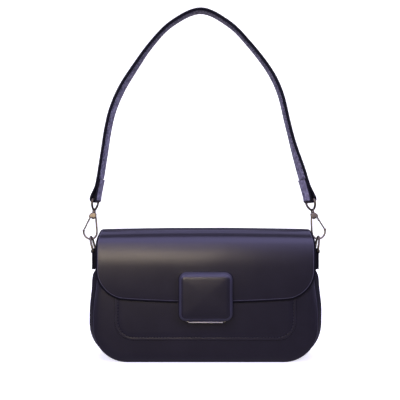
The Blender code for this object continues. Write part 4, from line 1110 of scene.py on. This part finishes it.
def flap_path():
    """Y and Z of the flap's outer face: the tail, the back roll, the top, the front roll and the drop."""
    top = FLAP_TOP - BACK_ROLL
    path = [(FLAP_BACK, TAIL_FOOT + (top - TAIL_FOOT) * k / TAIL_STEPS) for k in range(TAIL_STEPS)]
    path += arc((FLAP_BACK - BACK_ROLL, top), BACK_ROLL, 0, pi / 2, ROLL_STEPS)
    lean_y = LEAN_RADIUS * (1 - cos(LEAN))
    centre = (-FLAP_FRONT + lean_y + FRONT_ROLL * cos(LEAN), FLAP_TOP - FRONT_ROLL)
    path += arc(centre, FRONT_ROLL, pi / 2, pi - LEAN, ROLL_STEPS)
    lean_foot = centre[1] + (FRONT_ROLL - LEAN_RADIUS) * sin(LEAN)
    path += arc((-FLAP_FRONT + LEAN_RADIUS, lean_foot), LEAN_RADIUS, pi - LEAN, pi, DROP_STEPS)[1:]
    tuck = asin((lean_foot - FLAP_HEM + FLAP_HEM_DIP + HEM_OVERRUN) / TUCK_RADIUS)
    path += arc((-FLAP_FRONT + TUCK_RADIUS, lean_foot), TUCK_RADIUS, pi, pi + tuck, DROP_STEPS)[1:]
    return path


flap_line = flap_path()
flap_marks = length_marks(flap_line)


def mark_at(y, z):
    """The distance along the flap's line of the place on it nearest to a Y and Z."""
    here = Vector((y, z))
    marks = [flap_marks[-1] * k / MARK_STEPS for k in range(MARK_STEPS + 1)]
    return min(marks, key=lambda mark: (place_along(flap_line, flap_marks, mark) - here).length_squared)


HEM_MARK = mark_at(-FLAP_FRONT, FLAP_HEM)
HINGE_MARK = mark_at(FLAP_BACK, HINGE_Z + FIT_GAP)
TOP_FRONT_MARK = mark_at(-FLAP_FRONT + FRONT_ROLL, FLAP_TOP)
print("from the tail's foot to the hinge and the hem:", round(HINGE_MARK / MM), round(HEM_MARK / MM), "mm")


def flap_half(mark):
    """Half the flap's width at a distance from the tail's foot."""
    shoulder = ease((mark - (FLAP_TOP - BACK_ROLL - TAIL_FOOT)) / SHOULDER_HEIGHT)
    front = ease((mark - TOP_FRONT_MARK) / (FRONT_ROLL * pi / 2))
    wide = TAIL_WIDTH + (FLAP_TOP_WIDTH - TAIL_WIDTH) * shoulder + (FLAP_WIDTH - FLAP_TOP_WIDTH) * front
    return wide / 2


def flap_spot(u, v):
    """A place on the flap's outer face, with the crown of its top and a slow unevenness."""
    y, z = place_along(flap_line, flap_marks, v)
    on_top = ease((z - (FLAP_TOP - FRONT_ROLL)) / FRONT_ROLL)
    arch = 1 - (2 * u / FLAP_WIDTH) ** 2
    wave = FLAP_WAVE * noise.noise(Vector((u, y, z)) * FLAP_WAVES_PER_METRE)
    front = ease((v - TOP_FRONT_MARK) / FLAP_WAVE_FADE) * ease((HEM_MARK - v) / FLAP_WAVE_FADE)
    top_front = FRONT_ROLL - FLAP_FRONT
    slope = FLAP_SLOPE * ease((y - top_front) / (FLAP_BACK - BACK_ROLL - top_front))
    return Vector((u, y - wave * front, z + (FLAP_CROWN * arch - slope) * on_top + wave * on_top))


def flap_bend(u, v):
    return flap_spot(u, v), -facing_of(flap_spot, u, v)


def flap_lining_bend(u, v):
    place, facing = flap_bend(u, v)
    return place - facing * (FLAP_THICKNESS + FIT_GAP), facing


def flap_outline(inset=0.0, tail=True):
    """The flap's flat pattern, anticlockwise from the middle of its tail or hinge edge."""
    if tail:
        half = TAIL_WIDTH / 2
        right = arc((half - TAIL_RADIUS, TAIL_RADIUS), TAIL_RADIUS, -pi / 2, 0, TAIL_STEPS)
        start = TAIL_RADIUS
    else:
        start = HINGE_MARK + inset
        right = [(flap_half(start) - inset, start)]
    corner_start = HEM_MARK - FLAP_CORNER
    steps = round((corner_start - start) / FLAP_SIDE_PITCH)
    marks = [start + (corner_start - start) * k / steps for k in range(1, steps + 1)]
    right += [(flap_half(mark) - inset, mark) for mark in marks]
    centre = FLAP_WIDTH / 2 - FLAP_CORNER
    corner = FLAP_CORNER - inset
    right += arc((centre, corner_start), corner, 0, pi / 2, DROP_STEPS)[1:]
    right = [(x, hem_dipped(x, m, corner_start)) for x, m in right]
    hem_steps = 20
    end = HEM_MARK - inset
    hem = [(centre * (1 - 2 * k / hem_steps), end) for k in range(1, hem_steps)]
    hem = [(x, hem_dipped(x, m, corner_start)) for x, m in hem]
    return right + hem + [(-x, m) for x, m in reversed(right)]


def hem_dipped(x, mark, corner_start):
    """The hem is lower in its middle, and the dip fades out up the flap."""
    low = max((mark - corner_start) / FLAP_CORNER, 0)
    return mark + FLAP_HEM_DIP * low**2 * (1 - (2 * x / FLAP_WIDTH) ** 2)


# %% [markdown]
# The flap and its tail are one piece of leather, made where they lie with the flap closed: two
# stiff pieces would tear apart where it bends at the back edge. The flap's own edge is pared thin
# on its face over a wide band and painted near black, a painted shadow under the hem, and its
# lining is a second, smaller piece glued inside.

# %% Flap
FLAP_NET = (5 * MM, 2.5 * MM)
FLAP_SHADOW_EDGE_WIDTH = 3.0 * MM
FLAP_SHADOW_EDGE_DEPTH = 1.55 * MM
FLAP_LINING_ROUNDING = 0.3 * MM
TAIL_SEAM_TOP = 22 * MM


def follow_flap(obj, slot, *nodes):
    """Fix a piece in its place, and say which nodes it stands for."""
    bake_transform(obj)
    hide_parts(*nodes)
    print(obj.name, "bends from bag to flap with", len(obj.data.vertices), "points")


flap = cut_leather("flap_leather", flap_outline(), flap_bend, FLAP_THICKNESS, highlight_rim_finish, FLAP_SHADOW_EDGE_WIDTH,
                   FLAP_NET, edge_depth=FLAP_SHADOW_EDGE_DEPTH, highlight_rim_rows=1)
follow_flap(flap, "body_leather", "flap_shell", "flap_tail")
pattern = flap_outline(FLAP_LINING_INSET, tail=False)
flap_lining = cut_leather("flap_lining_leather", pattern, flap_lining_bend, FLAP_LINING_THICKNESS,
                          [flesh, flesh, edge_paint], FLAP_LINING_ROUNDING, FLAP_NET)
follow_flap(flap_lining, "lining_cloth", "flap_lining")

corner_middle = (TAIL_WIDTH / 2 - TAIL_RADIUS, TAIL_RADIUS)
tail_side = arc(corner_middle, TAIL_RADIUS - SEAM_INSET, -pi / 2, 0, TAIL_STEPS)
tail_side.append((TAIL_WIDTH / 2 - SEAM_INSET, TAIL_SEAM_TOP))
pattern = [(-x, m) for x, m in reversed(tail_side)] + tail_side
ride(stitches("tail_stitches", [[flap_bend(x, m) for x, m in pattern]]), "bag", "body_leather")

# %% [markdown]
# The clasp is a square of leather drawn over a stiff core, with a bevel all round and a crowned
# face. A bevelled box would have a flat face and even edges; here rings of one rounded square,
# each a little smaller and further out, give the bevel, the crease beside it and the crown. The
# bevel has a paler, duller calf, a painted highlight for the light it catches.

# %% Clasp pad
PAD_WIDTH = 57.5 * MM
PAD_HEIGHT = 52 * MM
PAD_FOOT = 46.5 * MM
PAD_RADIUS = 8.0 * MM
PAD_LEAST_RADIUS = 3.5 * MM
PAD_BACK = 42.4 * MM
PAD_DEPTH = 8.0 * MM
PAD_CROWN = 1.1 * MM
BEVEL_STEP = 1.0 * MM
# From the back to the crown: shares of the bevel's step moved in, and of the pad's depth moved out
PAD_RING_SHARES = (
    (1.0, 0.0), (0.25, 0.04), (0.0, 0.12), (0.0, 0.55), (0.15, 0.62), (0.5, 0.68), (1.2, 0.74), (2.2, 0.81),
    (2.9, 0.86), (3.15, 0.865), (3.4, 0.875), (3.8, 0.90), (4.5, 0.925), (6.0, 0.95),
)
BEVEL_HIGHLIGHT_ROWS = range(5, 9)
CROWN_RING_SHARES = (0.9, 0.75, 0.55, 0.3, 0.1)
CROWN_RISE_SHARE = 0.36
PAD_CREASE = radians(50)


def rounded_square(width, height, radius, middle_z, steps=8, side_steps=8):
    """The outline of an upright square with round corners, with places along its sides."""
    inner, rise = width / 2 - radius, height / 2 - radius
    corners = ((inner, rise, 0), (-inner, rise, 1), (-inner, -rise, 2), (inner, -rise, 3))
    outline = []
    for k, (x, z, quarter) in enumerate(corners):
        outline += arc((x, z), radius, quarter * pi / 2, (quarter + 1) * pi / 2, steps)
        after = corners[(k + 1) % 4]
        end = outline[-1]
        turn = (quarter + 1) * pi / 2
        to = (after[0] + radius * cos(turn), after[1] + radius * sin(turn))
        outline += [(end[0] + (to[0] - end[0]) * n / side_steps, end[1] + (to[1] - end[1]) * n / side_steps)
                    for n in range(1, side_steps)]
    return [(x, z + middle_z) for x, z in outline]


def make_pad():
    """The pad's rings from its back to its crown, joined and closed at both ends."""
    middle_z = PAD_FOOT + PAD_HEIGHT / 2
    rings = []
    for inset_share, depth_share in PAD_RING_SHARES:
        inset = inset_share * BEVEL_STEP
        radius = max(PAD_RADIUS - inset, PAD_LEAST_RADIUS)
        outline = rounded_square(PAD_WIDTH - 2 * inset, PAD_HEIGHT - 2 * inset, radius, middle_z)
        rings.append([(x, -(PAD_BACK + PAD_DEPTH * depth_share), z) for x, z in outline])
    outline = [(x, z - middle_z) for x, _, z in rings[-1]]
    for share in CROWN_RING_SHARES:
        crown = PAD_CROWN * (1 - share**2) * CROWN_RISE_SHARE
        y = -(PAD_BACK + PAD_DEPTH * PAD_RING_SHARES[-1][1] + crown)
        rings.append([(x * share, y, z * share + middle_z) for x, z in outline])
    pad = skin("clasp_pad_leather", rings, pad_calf, bevel_highlight_calf, closed=True)
    for k, face in enumerate(pad.data.polygons):
        face.material_index = 1 if k // len(rings[0]) in BEVEL_HIGHLIGHT_ROWS else 0
    bm = bmesh.new()
    bm.from_mesh(pad.data)
    bmesh.ops.holes_fill(bm, edges=[edge for edge in bm.edges if edge.is_boundary], sides=0)
    bmesh.ops.recalc_face_normals(bm, faces=bm.faces)
    bm.to_mesh(pad.data)
    bm.free()
    pad.data.shade_smooth()
    pad.data.set_sharp_from_angle(angle=PAD_CREASE)
    return pad


pad = ride(make_pad(), "flap", "body_leather", "clasp_pad")

# %% [markdown]
# Leather tabs on the gusset hold the rings. Each is one strip, folded round the ring's bar and
# closed below it by a small domed rivet. Sweeping the strip along its own folded line keeps its
# thickness true round the bend.

# %% Tabs and rivets
RING_WIRE = 2.3 * MM
RING_REACH = 124.8 * MM
RING_BAR_HEIGHT = 117.15 * MM
TAB_WIDTH = 14 * MM
TAB_LEATHER = 1.6 * MM
TAB_FOOT = 97 * MM
TAB_BORE_GAP = 0.3 * MM
TAB_ROUNDING = 0.5 * MM
TAB_NET = (1.2 * MM, 2 * MM)
TAB_NECK_SHARE = 1.35
TAB_LEG_STEPS = 8
TAB_FOLD_STEPS = 18
TAB_RIVET_DROP = 5.3 * MM
TAB_RIVET_RADIUS = 1.1 * MM
TAB_RIVET_HEAD_RADIUS = 2.4 * MM
TAB_RIVET_HEAD_THICKNESS = 0.9 * MM
RIVET_RIM_SHARE = 0.35
RIVET_STEPS = 6
RIVET_CREASE = 35


def tab_line():
    """The tab's middle line in its own plane, from one foot over the bar to the other."""
    radius = RING_WIRE / 2 + TAB_BORE_GAP + TAB_LEATHER / 2
    waist = TAB_LEATHER / 2 + FIT_GAP / 2
    drop = sqrt(radius**2 - waist**2)
    start = -atan2(drop, waist)
    fold = arc((0, 0), radius, start, pi - start, TAB_FOLD_STEPS)
    foot = TAB_FOOT - RING_BAR_HEIGHT
    neck = -drop * TAB_NECK_SHARE
    right = [(waist, foot + (neck - foot) * k / TAB_LEG_STEPS) for k in range(TAB_LEG_STEPS + 1)]
    return right + fold + [(-x, z) for x, z in reversed(right)]


def turned(name, profile, place, turn, material, steps=32):
    """A turned piece from a profile of radius and height, from its top down."""
    bm = bmesh.new()
    points = [bm.verts.new((r, 0, h)) for r, h in profile]
    for a, b in zip(points, points[1:]):
        bm.edges.new((a, b))
    bmesh.ops.spin(bm, geom=bm.verts[:] + bm.edges[:], axis=(0, 0, 1), cent=(0, 0, 0), angle=2 * pi,
                   steps=steps, use_merge=True)
    bmesh.ops.remove_doubles(bm, verts=bm.verts, dist=SAME_PLACE)
    obj = piece_from(name, bm, material)
    obj.rotation_euler = turn
    obj.location = place
    return settle(obj, RIVET_CREASE)


def rivet_profile():
    """Radius and height down a rivet: its dome, its shank and the dome on the other side."""
    half = TAB_LEATHER + FIT_GAP / 2
    turns = [k * pi / 2 / RIVET_STEPS for k in range(RIVET_STEPS + 1)]
    dome = []
    for turn in turns:
        rise = RIVET_RIM_SHARE + (1 - RIVET_RIM_SHARE) * cos(turn)
        dome.append((TAB_RIVET_HEAD_RADIUS * sin(turn), half + TAB_RIVET_HEAD_THICKNESS * rise))
    profile = dome + [(TAB_RIVET_HEAD_RADIUS, half), (TAB_RIVET_RADIUS, half)]
    return profile + [(r, -h) for r, h in reversed(profile)]


for name, side in SIDES:
    path = [(side * (RING_REACH + x), RING_BAR_HEIGHT + z) for x, z in tab_line()]
    marks = length_marks(path)

    def tab_spot(u, v, path=path, marks=marks, side=side):
        x, z = place_along(path, marks, u)
        return Vector((x, v * side, z))

    def tab_bend(u, v, spot=tab_spot):
        facing = -facing_of(spot, u, v)
        return spot(u, v) + facing * TAB_LEATHER / 2, facing

    outline = strip_outline(marks[-1], TAB_WIDTH / 2, TAB_NET[0])
    tab = cut_leather(f"tab_{name}_leather", outline, tab_bend, TAB_LEATHER, leather_finish, TAB_ROUNDING,
                      TAB_NET)
    ride(tab, "bag", "tab_leather", f"tab_{name}")
    place = (side * RING_REACH, 0, RING_BAR_HEIGHT - TAB_RIVET_DROP)
    rivet = turned(f"tab_rivet_{name}_dome", rivet_profile(), place, (0, pi / 2, 0), gold)
    ride(rivet, "bag", "pale_gold", f"tab_rivet_{name}")

# %% [markdown]
# The rings, hooks and swivel eyes are cast and polished, so their joints flow into one another.
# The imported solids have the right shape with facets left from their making. A fine remesh and a
# little smoothing give them the softness of a casting, and they are filled out by up to 0.3 mm,
# as the real wires look a little fuller than the solids.

# %% Cast hardware
RING_RADIUS = 8.85 * MM
RING_HEIGHT = 16.35 * MM
RING_CORNER = 2.0 * MM
RING_LEANS = {"left": radians(14), "right": radians(8.5)}
RING_SWELL = 0.06 * MM
RING_STEPS = 40
RING_CORNER_STEPS = 8
CAST_VOXEL = 0.2 * MM
CAST_SWELLS = {"hook": 0.14 * MM, "eye": 0.30 * MM, "gate": 0.05 * MM}
POLISH_SHARE = 0.5


def closed_wire(name, points, radius, material):
    """A round wire through points, back to the first of them, as a mesh."""
    curve = bpy.data.curves.new(name, "CURVE")
    curve.dimensions = "3D"
    curve.bevel_depth = radius
    curve.bevel_resolution = 6
    spline = curve.splines.new("POLY")
    spline.points.add(len(points) - 1)
    for point, co in zip(spline.points, points):
        point.co = (*co, 1)
    spline.use_cyclic_u = True
    return settle(add_object(name, curve, material))


def ring_line():
    """The ring's middle line in its own plane: a bow on a straight bar with small corners."""
    low = RING_RADIUS - RING_CORNER
    line = arc((0, RING_HEIGHT - RING_RADIUS), RING_RADIUS, 0, pi, RING_STEPS)
    line += arc((-low, RING_CORNER), RING_CORNER, pi, 1.5 * pi, RING_CORNER_STEPS)
    return line + arc((low, RING_CORNER), RING_CORNER, -0.5 * pi, 0, RING_CORNER_STEPS)


for name, side in SIDES:
    bar = Matrix.Translation((side * RING_REACH, 0, RING_BAR_HEIGHT))
    lean = bar @ Matrix.Rotation(side * RING_LEANS[name], 4, "Y")
    points = [lean @ Vector((0, y, z)) for y, z in ring_line()]
    ring = closed_wire(f"ring_{name}_wire", points, RING_WIRE / 2 + RING_SWELL, gold)
    ride(ring, f"ring_{name}", "pale_gold", f"ring_{name}")
    for piece, swell in CAST_SWELLS.items():
        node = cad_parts[f"{piece}_{name}"]
        node.material_slots[0].material = gold
        add_modifier(node, "REMESH", mode="VOXEL", voxel_size=CAST_VOXEL, use_smooth_shade=True)
        add_modifier(node, "SMOOTH", factor=POLISH_SHARE, iterations=2)
        add_modifier(node, "DISPLACE", strength=swell, mid_level=0)

# %% [markdown]
# The strap is a thick flat band with a paler leather sewn inside it. Both ends fold back round
# the swivel eyes. It could be a curve with a flat bevel, but its legs twist a little and its edge
# is rounded, so one cross-section is carried along the line and turned at each place. First comes
# the line: shares along an arch, and at each end a small loop round the eye's bar.

# %% Strap line
HOOK_WIRE = 1.9 * MM
HOOK_GAP = 0.5 * MM
HOOK_TILTS = {"left": radians(7.1), "right": radians(13.2)}
EYE_BAR_HEIGHT = 46 * MM
STRAP_WIDTH = 16 * MM
STRAP_THICKNESS = 2.4 * MM
STRAP_HALF_SPAN = 125 * MM
STRAP_FOOT = 190 * MM
STRAP_RISE = 199 * MM
LOOP_HALF = 3.1 * MM
LOOP_DROP = 2.5 * MM
LOOP_UPRIGHT = 1.5 * MM
LOOP_STEPS = 5
FOLD_PLACES = 2
# Shares of the strap's half span and rise, along the arch from left to right
STRAP_ROUTE_SHARES = (
    (-0.966, 0.0), (-0.952, 0.04), (-0.941, 0.08), (-0.914, 0.19), (-0.882, 0.32),
    (-0.840, 0.43), (-0.759, 0.55), (-0.641, 0.67), (-0.496, 0.80), (-0.310, 0.92),
    (-0.040, 0.995), (0.216, 0.92), (0.406, 0.80), (0.596, 0.64), (0.683, 0.52),
    (0.745, 0.36), (0.807, 0.21), (0.869, 0.08), (0.888, 0.04), (0.909, 0.0),
)


def smooth_through(points, steps, shortest=0):
    """A smooth open line through points, whose bends stay tight where the points are close."""
    points = [Vector(p) for p in points]
    padded = [2 * points[0] - points[1], *points, 2 * points[-1] - points[-2]]
    line = []
    for a, b, c, d in zip(padded, padded[1:], padded[2:], padded[3:]):
        ab, bc, cd = ((q - p).length ** 0.5 for p, q in ((a, b), (b, c), (c, d)))
        leave = ((b - a) / ab - (c - a) / (ab + bc) + (c - b) / bc) * bc
        arrive = ((c - b) / bc - (d - b) / (bc + cd) + (d - c) / cd) * bc
        places = steps if (c - b).length >= shortest else 1
        for k in range(places):
            t = k / places
            near, far = (2 * t - 3) * t * t + 1, (3 - 2 * t) * t * t
            line.append(near * b + far * c + (t - 1) ** 2 * t * leave + (t - 1) * t * t * arrive)
    line.append(points[-1])
    return line


def eye_bar(name, side):
    """The middle of the eye's bar, which the strap's end is folded round."""
    lean, tilt = RING_LEANS[name], HOOK_TILTS[name]
    hold = HOOK_WIRE + HOOK_GAP + RING_WIRE / 2
    out = RING_REACH + RING_HEIGHT * sin(lean) + hold * sin(tilt) - EYE_BAR_HEIGHT * sin(tilt)
    up = RING_BAR_HEIGHT + RING_HEIGHT * cos(lean) - hold * cos(tilt) + EYE_BAR_HEIGHT * cos(tilt)
    return Vector((side * out, up))


bars = {name: eye_bar(name, side) for name, side in SIDES}


def strap_lines():
    """The strap's middle line with both folded ends, and the same line without them."""
    route = [Vector((STRAP_HALF_SPAN * x, STRAP_FOOT + STRAP_RISE * z)) for x, z in STRAP_ROUTE_SHARES]
    fold_gap = STRAP_THICKNESS + FIT_GAP
    flat = LOOP_HALF - LOOP_DROP
    loop = [(-LOOP_HALF, LOOP_UPRIGHT), *arc((-flat, 0), LOOP_DROP, -pi, -pi / 2, LOOP_STEPS)]
    loop += [*arc((flat, 0), LOOP_DROP, -pi / 2, 0, LOOP_STEPS), (LOOP_HALF, LOOP_UPRIGHT)]
    ends = {}
    for (name, side), first, step in zip(SIDES, (0, len(route) - 1), (1, -1)):
        fold = []
        for k in range(FOLD_PLACES):
            here = route[first + k * step]
            run = (route[first + (k + 1) * step] - here).normalized()
            fold.append(here + Vector((run.y, -run.x)) * -side * fold_gap)
        ends[name] = fold[::-1] + [bars[name] + Vector((side * x, z)) for x, z in loop]
    return ends["left"] + route + ends["right"][::-1], route


whole_line, route = strap_lines()
print("strap:", len(whole_line), "places on its middle line")

# %% [markdown]
# The legs of the strap don't face straight inwards: each is turned a little about its own length,
# and its end turns with the hook. Two turns could be set by hand at every place; here each fades
# in and out with height, so the twist is as slow as stiff leather makes it.

# %% Strap turns and cross-section
EYE_TURNS = {"left": radians(12), "right": radians(22)}
TURN_FADE_FROM = 200 * MM
TURN_FADE_TO = 250 * MM
LEG_TURNS = {"left": radians(12), "right": radians(6)}
LEG_TURN_FADE_FROM = 290 * MM
LEG_TURN_FADE_TO = 370 * MM
STRAP_CREASE = radians(60)
# The corners of the cross-section that a flat face follows: the way that it runs, and its finish
FLAT_FINISHES = {0: (-1, BACK), 2: (1, FACE)}


def leg_turn(point):
    rise = ease((point.y - TURN_FADE_FROM) / (TURN_FADE_TO - TURN_FADE_FROM))
    fall = ease((point.y - LEG_TURN_FADE_FROM) / (LEG_TURN_FADE_TO - LEG_TURN_FADE_FROM))
    return LEG_TURNS["left" if point.x < 0 else "right"] * rise * (1 - fall)


def turned_end(point):
    """A place on the strap, turned about its hook's axis where it is near one."""
    for name, side in SIDES:
        if point.x * side < 0:
            continue
        tilt = HOOK_TILTS[name]
        fade = 1 - ease((point.z - TURN_FADE_FROM) / (TURN_FADE_TO - TURN_FADE_FROM))
        up = Vector((-side * sin(tilt), 0, cos(tilt)))
        centre = Vector((bars[name].x, 0, bars[name].y))
        return Matrix.Rotation(side * EYE_TURNS[name] * fade, 3, up) @ (point - centre) + centre
    return point


def strap_frames(line, inwards=0.0):
    """Middle, across and inward directions at each place of a line."""
    frames = []
    for k, point in enumerate(line):
        run = (line[min(k + 1, len(line) - 1)] - line[max(k - 1, 0)]).normalized()
        inner = Vector((run.y, 0, -run.x))
        turn = leg_turn(point)
        across = Vector((0, cos(turn), 0)) + inner * sin(turn)
        facing = inner * cos(turn) - Vector((0, sin(turn), 0))
        frames.append((Vector((point.x, 0, point.y)) + facing * inwards, across, facing))
    return frames


def band_profile(width, thickness, rounding, crown, side_steps=6, corner_steps=3):
    """A strap's cross-section: across, inwards, and which finish the next stretch has."""
    half, deep = width / 2 - rounding, thickness / 2 - rounding
    outline = []
    for quarter, (a, f) in enumerate(((half, deep), (-half, deep), (-half, -deep), (half, -deep))):
        corner = arc((a, f), rounding, quarter * pi / 2, (quarter + 1) * pi / 2, corner_steps)
        outline += [(x, y, EDGE) for x, y in corner]
        if quarter in FLAT_FINISHES:
            way, finish = FLAT_FINISHES[quarter]
            outline[-1] = (*corner[-1], finish)
            for k in range(1, side_steps):
                share = 2 * k / side_steps - 1
                bow = crown * (1 - share**4)
                outline.append((way * half * share, -way * (deep + rounding + bow), finish))
    return outline


def loft_band(name, frames, profile, materials, fold=0):
    """Carry a cross-section along the strap and close both its ends.

    Fold is the number of places at each end whose outer face has the last of the materials, a paler
    leather painted on as a highlight.
    """
    bm = bmesh.new()
    rings = []
    for middle, across, facing in frames:
        rings.append([bm.verts.new(turned_end(middle + across * a + facing * f)) for a, f, _ in profile])
    for n, (one, two) in enumerate(zip(rings, rings[1:])):
        painted_lit_fold = min(n, len(rings) - 2 - n) < fold
        for face, (_, _, finish) in zip(bridge(bm, one, two, closed=True), profile):
            face.material_index = len(materials) - 1 if painted_lit_fold and finish == FACE else finish
    for ring in (rings[0], rings[-1]):
        bm.faces.new(ring).material_index = EDGE
    band = piece_from(name, bm, *materials)
    band.data.set_sharp_from_angle(angle=STRAP_CREASE)
    return band


# %% [markdown]
# The band is one thick strap of calf. On its folded ends its outer face has the paler inner
# leather, a painted highlight for the light they catch. The inner leather is sewn on along both
# its edges. One strap with two colours would do from afar, but the step between the two layers
# catches the light, so they are two pieces.

# %% Strap
STRAP_ROUNDING = 0.9 * MM
STRAP_CROWN = 0.15 * MM
LIT_FOLD_PLACES = 18
STRAP_LINING_WIDTH = 15 * MM
STRAP_LINING_THICKNESS = 1.1 * MM
STRAP_LINING_ROUNDING = 0.4 * MM
STRAP_LINING_CROWN = 0.1 * MM
STRAP_SEAM = 2.2 * MM
STITCH_LIFT = 0.05 * MM
PLACES_BETWEEN = 8

band_line = smooth_through(whole_line, PLACES_BETWEEN, LOOP_DROP)
profile = band_profile(STRAP_WIDTH, STRAP_THICKNESS, STRAP_ROUNDING, STRAP_CROWN)
band = loft_band("strap_leather", strap_frames(band_line), profile, [calf, calf, edge_paint, strap_inner],
                 LIT_FOLD_PLACES)
ride(band, "strap", "body_leather", "strap_band")

inner_line = smooth_through(route[1:-1], PLACES_BETWEEN)
for end, beside in ((0, 1), (-1, -2)):
    inner_line[end] = inner_line[end] + (inner_line[beside] - inner_line[end]).normalized() * 2 * FIT_GAP
inner_frames = strap_frames(inner_line, (STRAP_THICKNESS + STRAP_LINING_THICKNESS) / 2 + FIT_GAP)
profile = band_profile(STRAP_LINING_WIDTH, STRAP_LINING_THICKNESS, STRAP_LINING_ROUNDING, STRAP_LINING_CROWN)
inner_band = loft_band("strap_inner_leather", inner_frames, profile, [strap_inner, strap_inner, edge_paint])
ride(inner_band, "strap", "strap_inner_leather", "strap_lining")

seams = []
for way in (-1, 1):
    aside = way * (STRAP_LINING_WIDTH / 2 - STRAP_SEAM)
    lift = STRAP_LINING_THICKNESS / 2 + STITCH_LIFT
    seams.append([(turned_end(middle + across * aside + facing * lift), facing)
                  for middle, across, facing in inner_frames])
ride(stitches("strap_stitches", seams), "strap", "strap_inner_leather")

# %% [markdown]
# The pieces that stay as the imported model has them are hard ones: the clasp's metal plate, the
# magnets, the rivets behind the clasp, the pivots and springs of the gates, and the board in the
# base. They could be drawn again, but their solids are true already, so they only need finishes.

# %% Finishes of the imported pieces
finishes = {
    "clasp_plate": bright_plate, "clasp_magnet": magnet_plate, "keeper_magnet": magnet_plate,
    "clasp_rivet_left": gold, "clasp_rivet_right": gold, "gate_pin_left": gold, "gate_pin_right": gold,
    "gate_spring_left": spring_plate, "gate_spring_right": spring_plate, "base_board": board,
}
for name, material in finishes.items():
    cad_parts[name].material_slots[0].material = material
print("finished:", sorted(finishes))
